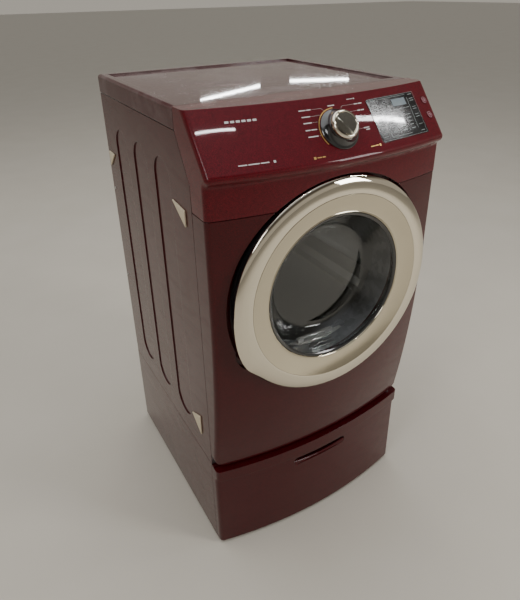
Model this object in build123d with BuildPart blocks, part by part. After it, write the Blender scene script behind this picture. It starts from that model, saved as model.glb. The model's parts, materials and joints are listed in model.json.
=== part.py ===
from build123d import *

import math
import os

os.makedirs("parts", exist_ok=True)

# A front-load tumble dryer standing on a matching storage-drawer pedestal.
# Millimetres. +Z is up, the front faces -Y, and the origin is on the floor
# under the middle of the cabinet.

# ---------------------------------------------------------------- overall sizes
width = 686.0
machine_height = 1011.0
overall_depth = 800.0
pedestal_height = 324.0
exhaust_stub = 20.0
rear_gap = 28.0

# ------------------------------------------------------- walls and clearances
sheet = 1.5
plastic = 2.5
seam = 2.0
gap = 0.5
cut = 1.0
pin_clearance = 0.05

# ----------------------------------------------------------- bowed front skin
bow_radius = 1490.0
corner_radius = 14.0
console_height = 223.0
console_tilt = 38.0
lip_radius = 14.0
lip_drop = 128.0
neck_setback = 15.0
neck_fillet = 10.0
skirt_height = 51.0
slant_drop = 110.0
slant_run = 66.0
skin_depth = 128.0
front_setback = 16.0
front_bulge_radius = 3350.0
front_bulge_drop = 212.0
toe_gap = 10.0
toe_radius = 32.0

# ------------------------------------------------------------------- controls
dial_down = 83.0
dial_base_radius = 50.0
dial_radius = 34.0
dial_height = 30.0
dial_gap = 1.0
window_width = 172.0
window_height = 114.0
window_across = 194.0
window_down = 79.0
window_thick = 1.2
button_radius = 11.0
button_across = 314.0
power_down = 53.0
start_down = 94.0
button_travel = 1.5
button_stem = 9.0
skirt_share = 0.62
dial_hub = 4.0
dial_dish = 2.5
board_drop = 30.0
board_thick = 1.6
chip_height = 6.0

# ----------------------------------------------------------------------- door
door_drop = 249.0
ring_radius = 301.0
ridge_inset = 44.0
window_inset = 97.0
ring_setback = 21.0
ridge_setback = 11.0
window_setback = 24.0
ring_wall = 3.0
lobe_radius = 62.0
lobe_proud = 10.0
lobe_angle = -152.0
recess_clearance = 7.0
recess_depth = 57.0
opening_inset = 85.0
frame_inset = 3.0
frame_depth = 25.0
frame_wall = 10.0
bowl_depth = 74.0
bowl_floor_inset = 54.0
bowl_wall = 4.0
hinge_setback = 30.0
leaf_width = 37.0
plate_width = 12.0
knuckle_radius = 5.0
hinge_pin_radius = 2.5
knuckle_inner = 39.0
knuckle_outer = 55.0
strike_inset = 35.0
strike_half = 12.0
strike_thick = 5.0
strike_head = 8.0
strike_length = 14.0
strike_slot = 18.0

# ------------------------------------------------------------- drum and drive
collar_depth = 75.0
drum_radius = 310.0
drum_sheet = 1.2
drum_front_gap = 4.5
drum_rear_gap = 6.5
rim_fold = 16.0
baffle_height = 62.0
baffle_foot = 42.0
baffle_crest = 12.0
baffle_wall = 3.0
baffle_inset = 30.0
felt_width = 12.0
roller_radius = 35.0
roller_width = 22.0
roller_angle = 35.0
roller_gap = 0.3
roller_inset = 20.0
axle_radius = 6.0
motor_x = 170.0
motor_rise = 116.0
motor_radius = 60.0
motor_length = 140.0
motor_front_y = -60.0
pulley_radius = 12.0
idler_radius = 22.0
idler_x = 70.0
idler_rise = 161.0
pivot_x = 88.0
pivot_rise = 76.0
belt_y = 105.0
belt_width = 10.0
belt_thickness = 2.5
belt_gap = 0.3
shaft_radius = 6.0
wheel_radius = 66.0
wheel_width = 40.0
blower_depth = 60.0
blower_clearance = 14.0
duct_radius = 50.8
duct_x = -40.0
duct_rise = 72.0
duct_wall = 0.8
flange_width = 6.0
flange_thick = 2.0
inlet_radius = 45.0
suction_radius = 50.0
case_wall = 2.0
filter_width = 200.0
filter_thick = 20.0
filter_length = 190.0
filter_frame = 8.0
sensor_leg = 22.0
heater_left = -318.0
heater_right = -222.0
heater_front_y = 60.0
heater_rise = 76.0
heater_height = 115.0
coil_radius = 34.0
coil_wire = 2.5
coil_pitch = 30.0
coil_turns = 8
vent_x = -150.0
vent_rise = 90.0
vent_pitch = 22.0
vent_radius = 7.0
valve_x = 285.0
valve_rise = 116.0
valve_half = 21.0
valve_depth = 70.0
inlet_pipe_radius = 13.2
inlet_pipe_bore = 8.0
hose_radius = 4.0

# ------------------------------------------------------------- cabinet panels
emboss_width = 108.0
emboss_rise = 66.0
emboss_drop = 135.0
emboss_pitch = 160.0
emboss_press = 3.0
emboss_centre_y = 62.0
side_flange = 18.0
bulkhead_inset = 22.0
rim_width = 24.0
rim_radius = 9.0
top_recess = 5.0
louvre_rise = 376.0
louvre_length = 60.0
louvre_height = 6.0
louvre_pitch_x = 90.0
louvre_pitch_z = 22.0
terminal_x = -260.0
terminal_rise = 191.0
terminal_width = 80.0
terminal_height = 90.0
terminal_depth = 14.0
terminal_wall = 5.0
terminal_pitch = 20.0
screw_inset = 23.0
screw_radius = 5.0

# ------------------------------------------------------------------- pedestal
foot_height = 10.0
foot_radius = 20.0
stud_radius = 5.0
foot_inset = 45.0
band_height = 44.0
band_setback = 53.0
drawer_setback = 62.0
pull_width = 194.0
pull_height = 28.0
pull_drop = 16.0
pull_depth = 36.0
drawer_box_height = 200.0
drawer_box_depth = 600.0
slide_height = 45.0
slide_z = 150.0
slide_length = 560.0
slide_wall = 2.0
slide_depth = 14.0
foot_boss = 14.0

# ------------------------------------------------------------- derived places
height = pedestal_height + machine_height
half_width = width / 2
inner_half = half_width - sheet
front_y = -overall_depth / 2
rear_y = overall_depth / 2 - exhaust_stub
bow_axis_y = front_y + bow_radius
console_bottom = height - console_height
door_z = console_bottom - door_drop
skin_rear_y = front_y + skin_depth
skirt_z = height - skirt_height
slant_z = skirt_z - slant_drop
slant_y = skin_rear_y + slant_run
neck_y = front_y + neck_setback
lip_z = height - lip_drop
panel_y = front_y + front_setback
ring_y = front_y + ring_setback
ridge_y = front_y + ridge_setback
window_y = front_y + window_setback
hinge_y = front_y + hinge_setback
frame_front_y = window_y + ring_wall + gap
frame_rear_y = frame_front_y + frame_depth
recess_y = front_y + recess_depth
strike_x = -ring_radius + strike_inset
ridge_radius = ring_radius - ridge_inset
window_radius = ring_radius - window_inset
opening_radius = ring_radius - opening_inset
frame_radius = ring_radius - frame_inset
bowl_floor_radius = window_radius - bowl_floor_inset
bulkhead_y = recess_y + collar_depth
rear_bulkhead_y = rear_y - rear_gap
drum_front_y = bulkhead_y + sheet + drum_front_gap
drum_rear_y = rear_bulkhead_y - drum_rear_gap
floor_z = pedestal_height
motor_z = floor_z + motor_rise
idler_z = floor_z + idler_rise
pivot_z = floor_z + pivot_rise
duct_z = floor_z + duct_rise
heater_low = floor_z + heater_rise
heater_high = heater_low + heater_height
valve_z = floor_z + valve_rise
emboss_bottom = floor_z + emboss_rise
emboss_top = height - emboss_drop
terminal_z = floor_z + terminal_rise
pan_height = 40.0
bulkhead_bottom_z = floor_z + pan_height + seam
bulkhead_top_z = skirt_z - slant_drop
bulkhead_half = inner_half - bulkhead_inset
roller_reach = drum_radius + roller_radius + roller_gap
roller_x = roller_reach * math.sin(math.radians(roller_angle))
roller_z = door_z - roller_reach * math.cos(math.radians(roller_angle))
front_roller_y = drum_front_y + roller_inset
rear_roller_y = drum_rear_y - roller_inset
blower_front_y = bulkhead_y + sheet + 40.0
blower_rear_y = blower_front_y + blower_depth
blower_radius = wheel_radius + blower_clearance
drawer_y = front_y + drawer_setback
band_y = front_y + band_setback
drawer_top_z = pedestal_height - seam - sheet
band_z = drawer_top_z - band_height
far = 2 * (width + height + overall_depth)

slope = math.radians(console_tilt)
face_run = Vector(math.sin(slope), -math.cos(slope))
face_normal = Vector(math.cos(slope), math.sin(slope))
face_end_reach = bow_radius - lip_radius + lip_radius * math.cos(slope)
face_end_z = lip_z + lip_radius * math.sin(slope)
face_length = (height - face_end_z) / math.cos(slope)
face_top_reach = face_end_reach - face_length * math.sin(slope)

door_axis = Axis((0, 0, door_z), (0, 1, 0))
bow_axis = Axis((0, bow_axis_y, 0), (0, 0, 1))
bow_sweep = math.degrees(math.asin(half_width / (bow_axis_y - slant_y))) + 1
sweep_sine = math.sin(math.radians(bow_sweep))
sweep_cosine = math.cos(math.radians(bow_sweep))
bow_plane = Plane(
    origin=(0, bow_axis_y, 0),
    x_dir=(-sweep_sine, -sweep_cosine, 0),
    z_dir=(-sweep_cosine, sweep_sine, 0),
)


# -------------------------------------------------------------------- helpers
def save(piece, label):
    """Label a finished piece and write it to its own file."""
    piece.part.label = label
    export_step(piece.part, f"parts/{label}.step")


def reach(y):
    """Distance of a depth y from the bow axis, on the centre line."""
    return bow_axis_y - y


def block_between(low, high, mode=Mode.ADD):
    """A box given by its lowest and highest corners."""
    low, high = Vector(*low), Vector(*high)
    size = high - low
    with Locations((low + high) / 2):
        Box(size.X, size.Y, size.Z, mode=mode)


def tube_along_y(x, z, radius, y0, y1, bore=0.0):
    """A cylinder, or a tube with a bore, that runs from front to back."""
    with BuildPart() as tube:
        with BuildSketch(Plane.XZ.offset(-y1)):
            with Locations((x, z)):
                Circle(radius)
                if bore > 0:
                    Circle(bore, mode=Mode.SUBTRACT)
        extrude(amount=y1 - y0)
    return tube.part


def disc_on(plane, radius, thickness, bore=0.0):
    """A disc or ring that stands on a plane."""
    with BuildPart() as disc:
        with BuildSketch(plane):
            Circle(radius)
            if bore > 0:
                Circle(bore, mode=Mode.SUBTRACT)
        extrude(amount=thickness)
    return disc.part


def bowed_block(outline, inset=0.0):
    """Turn a side outline about the bow axis, trim it to the cabinet's width
    and round its two front corners."""
    half = half_width - inset
    with BuildPart() as block:
        with BuildSketch(bow_plane):
            add(outline)
        revolve(axis=bow_axis, revolution_arc=2 * bow_sweep)
        with BuildSketch(Plane.XY.offset(-foot_height)):
            Rectangle(2 * half, far)
        extrude(amount=2 * height, mode=Mode.INTERSECT)
        corners = block.edges().filter_by(
            lambda edge: abs(abs(edge.center().X) - half) < 0.01
            and edge.bounding_box().max.Y < slant_y
        )
        fillet(corners, corner_radius - inset)
    return block.part


def side_prism(points, x0=-far / 2, x1=far / 2):
    """An outline drawn in the side view, carried from one side to the other."""
    with BuildPart() as prism:
        with BuildSketch(Plane.YZ.offset(x0)):
            with BuildLine():
                Polyline(*points, close=True)
            make_face()
        extrude(amount=x1 - x0)
    return prism.part


def recess_sketch(grow=0.0):
    """Front view of the round door recess with the bulge for the door's grip."""
    lobe_centre = ring_radius + lobe_proud - lobe_radius
    with BuildSketch() as outline:
        with Locations((0, door_z)):
            Circle(ring_radius + grow)
        angle = math.radians(lobe_angle)
        with Locations((lobe_centre * math.cos(angle), door_z + lobe_centre * math.sin(angle))):
            Circle(lobe_radius + grow)
    return outline.sketch


def recess_solid(grow, y0, y1):
    """The recess outline carried from one depth to another."""
    with BuildPart() as solid:
        with BuildSketch(Plane.XZ.offset(-y1)):
            add(recess_sketch(grow))
        extrude(amount=y1 - y0)
    return solid.part


def turned_about_door(points, label):
    """A ring turned about the door's axis from radius and depth points."""
    with BuildPart() as ring:
        with BuildSketch(Plane.XY.offset(door_z)):
            with BuildLine():
                Polyline(*points, close=True)
            make_face()
        revolve(axis=door_axis)
    ring.part.label = label
    return ring.part


def face_plane(across, down, lift=0.0):
    """Plane on the console's sloping face, its z axis pointing out of the face."""
    radius = face_top_reach + down * math.sin(slope)
    turn = math.asin(across / radius)
    outward = Vector(
        math.cos(slope) * math.sin(turn), -math.cos(slope) * math.cos(turn), math.sin(slope)
    )
    origin = Vector(
        radius * math.sin(turn),
        bow_axis_y - radius * math.cos(turn),
        height - down * math.cos(slope),
    )
    return Plane(
        origin=origin + outward * lift,
        x_dir=(math.cos(turn), math.sin(turn), 0),
        z_dir=outward,
    )


# -------------------------------------------------------------------- console
def console_outline(inset):
    """Side outline: top strip, sloping face, rolled lip and neck."""
    back = reach(rear_y / 2)
    face_top = Vector(face_top_reach, height)
    face_end = face_top + face_run * face_length
    under_start = Vector(bow_radius - lip_radius, lip_z) + face_run * lip_radius
    neck_top = under_start - face_normal * ((under_start.X - reach(neck_y)) / math.cos(slope))
    with BuildSketch() as outline:
        with BuildLine():
            Line((back, height), face_top)
            Line(face_top, face_end)
            JernArc(face_end, face_run, lip_radius, -90)
            Polyline(under_start, neck_top, (reach(neck_y), console_bottom))
            Polyline((reach(neck_y), console_bottom), (back, console_bottom), (back, height))
        make_face()
        corner = outline.vertices().sort_by_distance(neck_top)[0]
        fillet(corner, neck_fillet)
        if inset != 0:
            offset(amount=-inset, kind=Kind.INTERSECTION)
    return outline.sketch


console_side = [
    (front_y - lip_radius, console_bottom - 1),
    (skin_rear_y - seam, console_bottom - 1),
    (skin_rear_y - seam, slant_z),
    (slant_y - seam, skirt_z),
    (slant_y - seam, height + 1),
    (front_y - lip_radius, height + 1),
]

with BuildPart() as console_fascia:
    add(bowed_block(console_outline(0)))
    add(bowed_block(console_outline(plastic), plastic), mode=Mode.SUBTRACT)
    with BuildPart(mode=Mode.PRIVATE) as console_tub:
        add(recess_solid(recess_clearance + plastic, front_y, recess_y + plastic))
        add(bowed_block(console_outline(0)), mode=Mode.INTERSECT)
    add(console_tub.part)
    add(side_prism(console_side), mode=Mode.INTERSECT)
    add(recess_solid(recess_clearance, front_y - 50, recess_y), mode=Mode.SUBTRACT)
    add(tube_along_y(0, door_z, opening_radius, front_y, rear_y), mode=Mode.SUBTRACT)
    add(disc_on(face_plane(0, dial_down, -10), shaft_radius + gap, 20), mode=Mode.SUBTRACT)
    for down in (power_down, start_down):
        button_hole = disc_on(face_plane(button_across, down, -10), button_radius + gap, 20)
        add(button_hole, mode=Mode.SUBTRACT)
save(console_fascia, "console_fascia")


# ---------------------------------------------------------------- front panel
def front_outline(inset):
    """Side outline: upright at the top, then a long gentle arc back to the toe."""
    back = reach(rear_y / 2)
    bottom = pedestal_height + toe_gap + inset
    top = console_bottom - seam - inset
    front = reach(panel_y) - inset
    arc_top = console_bottom - seam - front_bulge_drop
    arc_radius = front_bulge_radius - inset
    arc_turn = math.degrees(math.asin((arc_top - bottom) / arc_radius))
    with BuildSketch() as outline:
        with BuildLine():
            Polyline((back, top), (front, top), (front, arc_top))
            bulge = JernArc((front, arc_top), (0, -1), arc_radius, -arc_turn)
            Polyline(bulge @ 1, (back, bottom), (back, top))
        make_face()
    return outline.sketch


front_side = [
    (front_y - 50, pedestal_height),
    (skin_rear_y - seam, pedestal_height),
    (skin_rear_y - seam, console_bottom),
    (front_y - 50, console_bottom),
]

with BuildPart() as front_panel:
    add(bowed_block(front_outline(0)))
    add(bowed_block(front_outline(sheet), sheet), mode=Mode.SUBTRACT)
    with BuildPart(mode=Mode.PRIVATE) as panel_tub:
        add(recess_solid(recess_clearance + sheet, front_y, recess_y + sheet))
        add(bowed_block(front_outline(0)), mode=Mode.INTERSECT)
    add(panel_tub.part)
    add(side_prism(front_side), mode=Mode.INTERSECT)
    add(recess_solid(recess_clearance, front_y - 50, recess_y), mode=Mode.SUBTRACT)
    add(tube_along_y(0, door_z, opening_radius, front_y, rear_y), mode=Mode.SUBTRACT)
    with BuildSketch(Plane.XZ.offset(-rear_y)):
        with Locations((0, pedestal_height + toe_gap + height / 2)):
            RectangleRounded(width, height, toe_radius)
    extrude(amount=overall_depth, mode=Mode.INTERSECT)
    block_between(
        (strike_x - 7, recess_y - cut, door_z - strike_slot),
        (strike_x + 7, recess_y + sheet + cut, door_z + strike_slot),
        mode=Mode.SUBTRACT,
    )
save(front_panel, "front_panel")


# ------------------------------------------------------------------- controls
with BuildPart() as display_window:
    add(bowed_block(console_outline(-window_thick), -window_thick))
    add(bowed_block(console_outline(-0.1), -0.1), mode=Mode.SUBTRACT)
    with BuildPart(mode=Mode.PRIVATE) as window_prism:
        with BuildSketch(face_plane(window_across, window_down, -10)):
            RectangleRounded(window_width, window_height, 5)
        extrude(amount=20)
    add(window_prism.part, mode=Mode.INTERSECT)
save(display_window, "display_window")

board_plane = face_plane(window_across / 2, window_down, -board_drop)
with BuildPart() as control_board:
    with BuildSketch(board_plane):
        Rectangle(window_across + window_width * 0.5, window_height - 10)
    extrude(amount=board_thick)
    with BuildSketch(board_plane.offset(board_thick)):
        with GridLocations(70, 50, 4, 2):
            Rectangle(18, 12)
    extrude(amount=chip_height)
save(control_board, "control_board")

dial_plane = face_plane(0, dial_down, dial_gap)
skirt_lift = dial_height * skirt_share
hub_radius = dial_radius - dial_hub
with BuildPart() as dial_skirt:
    with BuildSketch(dial_plane):
        Circle(dial_base_radius)
    with BuildSketch(dial_plane.offset(skirt_lift)):
        Circle(dial_radius + 2)
    loft()
    with BuildSketch(dial_plane.offset(skirt_lift)):
        Circle(hub_radius)
    extrude(amount=-6, mode=Mode.SUBTRACT)
    with BuildSketch(dial_plane):
        Circle(dial_base_radius - 8)
    extrude(amount=8, mode=Mode.SUBTRACT)
    with BuildSketch(dial_plane.offset(8)):
        Circle(shaft_radius)
    extrude(amount=-20)
save(dial_skirt, "dial_skirt")

with BuildPart() as dial_cap:
    with BuildSketch(dial_plane.offset(skirt_lift - 6)):
        Circle(hub_radius)
    extrude(amount=6)
    with BuildSketch(dial_plane.offset(skirt_lift)):
        Circle(dial_radius)
    extrude(amount=dial_height - skirt_lift)
    cap_rims = dial_cap.edges().filter_by(GeomType.CIRCLE)
    fillet(cap_rims.sort_by_distance(dial_plane.offset(60).origin)[0], 3)
    with BuildSketch(dial_plane.offset(dial_height)):
        Circle(dial_radius - 5)
    extrude(amount=-dial_dish, mode=Mode.SUBTRACT)
save(dial_cap, "dial_cap")

for label, down in (("power_button", power_down), ("start_button", start_down)):
    button_plane = face_plane(button_across, down)
    with BuildPart() as button:
        with BuildSketch(button_plane.offset(-button_stem)):
            Circle(button_radius)
        extrude(amount=button_stem + button_travel)
        rims = button.edges().filter_by(GeomType.CIRCLE)
        fillet(rims.sort_by_distance(button_plane.offset(50).origin)[0], 1)
    save(button, label)


# ----------------------------------------------------------------------- door
ring_back_y = ring_y + ring_wall

with BuildPart() as door_chrome_ring:
    with BuildSketch(Plane.XY.offset(door_z)):
        with BuildLine():
            Line((ring_radius, ring_back_y), (ring_radius, ring_y))
            crown = ThreePointArc(
                (ring_radius, ring_y),
                ((ring_radius + ridge_radius) / 2 + 6, ridge_y + 1.5),
                (ridge_radius, ridge_y),
            )
            Polyline(crown @ 1, (ridge_radius, ring_back_y), (ring_radius, ring_back_y))
        make_face()
    revolve(axis=door_axis)
    with BuildPart(mode=Mode.PRIVATE) as grip_lobe:
        add(recess_solid(0, ring_y, ring_back_y))
        add(tube_along_y(0, door_z, ridge_radius + 1, ring_y - 1, ring_back_y + 1), mode=Mode.SUBTRACT)
    add(grip_lobe.part)
save(door_chrome_ring, "door_chrome_ring")

with BuildPart() as door_inner_ring:
    with BuildSketch(Plane.XY.offset(door_z)):
        with BuildLine():
            dish = ThreePointArc(
                (ridge_radius - gap, ridge_y),
                ((ridge_radius + window_radius) / 2, (ridge_y + window_y) / 2 + 2),
                (window_radius, window_y),
            )
            Polyline(
                dish @ 1,
                (window_radius, window_y + ring_wall),
                (ridge_radius - gap, window_y + ring_wall),
                dish @ 0,
            )
        make_face()
    revolve(axis=door_axis)
save(door_inner_ring, "door_inner_ring")

frame_points = [
    (window_radius + frame_wall, frame_front_y),
    (window_radius + frame_wall, frame_rear_y),
    (frame_radius, frame_rear_y),
    (frame_radius, frame_front_y),
    (frame_radius - frame_wall, frame_front_y),
    (frame_radius - frame_wall, frame_rear_y - frame_wall),
    (window_radius + 2 * frame_wall, frame_rear_y - frame_wall),
    (window_radius + 2 * frame_wall, frame_front_y),
]
hinge_low = (ring_radius - leaf_width, frame_front_y - 1, door_z - knuckle_inner - 1)
hinge_high = (ring_radius + 20, hinge_y + knuckle_radius + 1, door_z + knuckle_inner + 1)

with BuildPart() as door_back_frame:
    add(turned_about_door(frame_points, "frame"))
    block_between(hinge_low, hinge_high, mode=Mode.SUBTRACT)
save(door_back_frame, "door_back_frame")

with BuildPart() as door_glass:
    bowl_rear_y = window_y + bowl_depth
    with BuildSketch(Plane.XY.offset(door_z)):
        with BuildLine():
            Polyline(
                (0, bowl_rear_y),
                (bowl_floor_radius, bowl_rear_y),
                (window_radius - 6, window_y + 24),
                (window_radius - 2, window_y + ring_wall + gap),
                (window_radius - 2 - bowl_wall, window_y + ring_wall + gap),
                (window_radius - 6 - bowl_wall, window_y + 22),
                (bowl_floor_radius - bowl_wall, bowl_rear_y - bowl_wall),
                (0, bowl_rear_y - bowl_wall),
                close=True,
            )
        make_face()
    revolve(axis=door_axis)
    flange = tube_along_y(
        0, door_z, window_radius + frame_wall - gap, frame_front_y, frame_front_y + bowl_wall,
        window_radius - 2 - bowl_wall / 2,
    )
    add(flange)
save(door_glass, "door_glass")

with BuildPart() as door_gasket:
    gasket_inner = opening_radius + 4
    add(tube_along_y(0, door_z, gasket_inner + 12, frame_rear_y, recess_y - gap, gasket_inner))
save(door_gasket, "door_gasket")

with BuildPart() as door_hinge_arm:
    with BuildSketch(Plane.XY.offset(door_z - knuckle_inner)):
        with Locations((ring_radius, hinge_y)):
            Circle(knuckle_radius)
    extrude(amount=2 * knuckle_inner)
    block_between(
        (ring_radius - leaf_width + 2, ring_back_y, door_z - knuckle_inner),
        (ring_radius, hinge_y + 1, door_z + knuckle_inner),
    )
    with BuildSketch(Plane.XY.offset(door_z - knuckle_inner)):
        with Locations((ring_radius, hinge_y)):
            Circle(hinge_pin_radius + pin_clearance)
    extrude(amount=2 * knuckle_inner, mode=Mode.SUBTRACT)
save(door_hinge_arm, "door_hinge_arm")

with BuildPart() as door_hinge_base:
    for side in (-1, 1):
        low_z = min(side * (knuckle_inner + gap), side * knuckle_outer) + door_z
        high_z = max(side * (knuckle_inner + gap), side * knuckle_outer) + door_z
        with BuildSketch(Plane.XY.offset(low_z)):
            with Locations((ring_radius, hinge_y)):
                Circle(knuckle_radius)
        extrude(amount=high_z - low_z)
        block_between(
            (ring_radius - 2.5, hinge_y, low_z), (ring_radius + 1.5, recess_y - 2, high_z)
        )
    block_between(
        (ring_radius - plate_width, recess_y - 2, door_z - knuckle_outer),
        (ring_radius + 1.5, recess_y, door_z + knuckle_outer),
    )
    with BuildSketch(Plane.XY.offset(door_z - knuckle_outer)):
        with Locations((ring_radius, hinge_y)):
            Circle(hinge_pin_radius)
    extrude(amount=2 * knuckle_outer)
save(door_hinge_base, "door_hinge_base")

with BuildPart() as door_strike:
    block_between(
        (strike_x - strike_thick / 2, frame_rear_y, door_z - strike_half),
        (strike_x + strike_thick / 2, recess_y + strike_length, door_z + strike_half),
    )
    block_between(
        (strike_x - strike_head / 2, recess_y + strike_length - 6, door_z - strike_half),
        (strike_x + strike_head / 2, recess_y + strike_length, door_z + strike_half),
    )
save(door_strike, "door_strike")

with BuildPart() as door_catch:
    block_between(
        (strike_x - 14, recess_y + sheet, door_z - 24), (strike_x + 14, recess_y + 24, door_z + 24)
    )
    block_between(
        (strike_x - 7, recess_y, door_z - 17), (strike_x + 7, recess_y + 20, door_z + 17),
        mode=Mode.SUBTRACT,
    )
save(door_catch, "door_catch")


# ------------------------------------------------------------- cabinet panels
panel_side = [
    (skin_rear_y, floor_z + seam),
    (rear_y - sheet - gap, floor_z + seam),
    (rear_y - sheet - gap, skirt_z - seam),
    (slant_y, skirt_z - seam),
    (skin_rear_y, slant_z),
]


def side_panel(side):
    """One steel side: flat sheet, two inward flanges and three pressed ovals."""
    outer = min(side * half_width, side * inner_half)
    inside = inner_half if side > 0 else -inner_half
    press_plane = Plane(origin=(inside, 0, 0), x_dir=(0, -side, 0), z_dir=(-side, 0, 0))
    oval_z = (emboss_bottom + emboss_top) / 2
    ovals = [(-side * (emboss_centre_y + k * emboss_pitch), oval_z) for k in (-1, 0, 1)]
    with BuildPart() as panel:
        add(side_prism(panel_side, outer, outer + sheet))
        with BuildSketch(press_plane):
            with Locations(*ovals):
                SlotOverall(emboss_top - emboss_bottom, emboss_width, rotation=90)
        extrude(amount=emboss_press)
        with BuildSketch(press_plane.offset(-sheet)):
            with Locations(*ovals):
                SlotOverall(emboss_top - emboss_bottom - 2 * sheet, emboss_width - 2 * sheet, rotation=90)
        extrude(amount=emboss_press, mode=Mode.SUBTRACT)
        flange_x = sorted((inside, inside - side * side_flange))
        block_between(
            (flange_x[0], rear_y - 2 * sheet - gap, bulkhead_bottom_z),
            (flange_x[1], rear_y - sheet - gap, skirt_z - 20),
        )
        block_between(
            (flange_x[0], skin_rear_y, bulkhead_bottom_z), (flange_x[1], skin_rear_y + sheet, slant_z)
        )
    return panel


save(side_panel(-1), "left_side_panel")
save(side_panel(1), "right_side_panel")

with BuildPart() as base_pan:
    pan_half = inner_half - gap
    block_between(
        (-pan_half, skin_rear_y + 2, floor_z), (pan_half, rear_y - sheet - 2 * gap, floor_z + pan_height)
    )
    block_between(
        (-pan_half + sheet, skin_rear_y + 2 + sheet, floor_z + sheet),
        (pan_half - sheet, rear_y - 2 * sheet - 2 * gap, floor_z + pan_height + 1),
        mode=Mode.SUBTRACT,
    )
    add(tube_along_y(duct_x, duct_z, duct_radius + 3, 0, rear_y), mode=Mode.SUBTRACT)
    idler_rear_y = belt_y + belt_width / 2 + 3
    add(tube_along_y(pivot_x, pivot_z, 5, idler_rear_y - 3, idler_rear_y + 10))
    block_between(
        (pivot_x - 12, idler_rear_y + 6, floor_z + sheet), (pivot_x + 12, idler_rear_y + 10, pivot_z + 10)
    )
save(base_pan, "base_pan")

with BuildPart() as rear_panel:
    block_between(
        (-half_width + 1, rear_y - sheet, floor_z + seam), (half_width - 1, rear_y, skirt_z - seam)
    )
    add(tube_along_y(duct_x, duct_z, duct_radius + 2, rear_y - 10, rear_y + 1), mode=Mode.SUBTRACT)
    inlet_hole = tube_along_y(valve_x, valve_z, inlet_pipe_radius + 3, rear_y - 10, rear_y + 1)
    add(inlet_hole, mode=Mode.SUBTRACT)
    with BuildSketch(Plane.XZ.offset(-rear_y - 1)):
        with Locations((0, floor_z + louvre_rise)):
            with GridLocations(louvre_pitch_x, louvre_pitch_z, 4, 14):
                SlotOverall(louvre_length, louvre_height)
    extrude(amount=10, mode=Mode.SUBTRACT)
save(rear_panel, "rear_panel")

with BuildPart() as top_panel:
    block_between((-half_width, slant_y, skirt_z), (half_width, rear_y, height))
    rim_edges = top_panel.faces().sort_by(Axis.Z)[-1].edges().filter_by(
        lambda edge: edge.center().Y > slant_y + 1
    )
    fillet(rim_edges, rim_radius)
    block_between(
        (-half_width + rim_width, slant_y + rim_width, height - top_recess),
        (half_width - rim_width, rear_y - rim_width, height + 1),
        mode=Mode.SUBTRACT,
    )
    block_between(
        (-inner_half, slant_y + sheet, skirt_z - 1),
        (inner_half, rear_y - sheet, height - top_recess - sheet),
        mode=Mode.SUBTRACT,
    )
save(top_panel, "top_panel")

with BuildPart() as terminal_block:
    terminal_half = terminal_width / 2
    terminal_low = terminal_z - terminal_height / 2
    terminal_high = terminal_z + terminal_height / 2
    block_between(
        (terminal_x - terminal_half, rear_y, terminal_low),
        (terminal_x + terminal_half, rear_y + terminal_depth, terminal_high),
    )
    pocket_half = terminal_half - terminal_wall
    block_between(
        (terminal_x - pocket_half, rear_y, terminal_low + terminal_wall),
        (terminal_x + pocket_half, rear_y + terminal_depth - 3, terminal_high - terminal_wall),
        mode=Mode.SUBTRACT,
    )
    with Locations(*[(terminal_x + k * terminal_pitch, rear_y + 4, terminal_z) for k in (-1, 0, 1)]):
        Box(12, 8, 30)
    with Locations((terminal_x, rear_y + terminal_depth / 2, terminal_low + 2)):
        Cylinder(9, 12, mode=Mode.SUBTRACT)
save(terminal_block, "terminal_block")

with BuildPart() as panel_screws:
    screw_columns = (screw_inset - half_width, 0, half_width - screw_inset)
    screw_spots = [(x, z) for x in screw_columns for z in (floor_z + seam + 20, skirt_z - 20)]
    for x, z in screw_spots:
        add(tube_along_y(x, z, screw_radius, rear_y, rear_y + 3))
    for side in (-1, 1):
        for z in (door_z - 200, door_z + 120):
            side_x = side * half_width
            with BuildSketch(Plane.YZ.offset(side_x if side > 0 else side_x - 1)):
                with Locations((rear_y - 18, z)):
                    Circle(4)
            extrude(amount=1)
save(panel_screws, "panel_screws")


# --------------------------------------------------------- bulkheads and drum
with BuildPart() as front_bulkhead:
    block_between(
        (-bulkhead_half, bulkhead_y, bulkhead_bottom_z),
        (bulkhead_half, bulkhead_y + sheet, console_bottom - 20),
    )
    add(tube_along_y(0, door_z, opening_radius, bulkhead_y - 1, bulkhead_y + 5), mode=Mode.SUBTRACT)
    collar = tube_along_y(
        0, door_z, opening_radius + sheet, recess_y + sheet + gap, bulkhead_y, opening_radius
    )
    add(collar)
    add(tube_along_y(motor_x, motor_z, suction_radius, bulkhead_y - 1, bulkhead_y + 5), mode=Mode.SUBTRACT)
    filter_rear_y = bulkhead_y - 6
    filter_front_y = filter_rear_y - filter_thick
    block_between(
        (-filter_width / 2 - 3, filter_front_y - 3, door_z - opening_radius - 10),
        (filter_width / 2 + 3, filter_rear_y + 3, door_z - opening_radius + 60),
        mode=Mode.SUBTRACT,
    )
save(front_bulkhead, "front_bulkhead")

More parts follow.
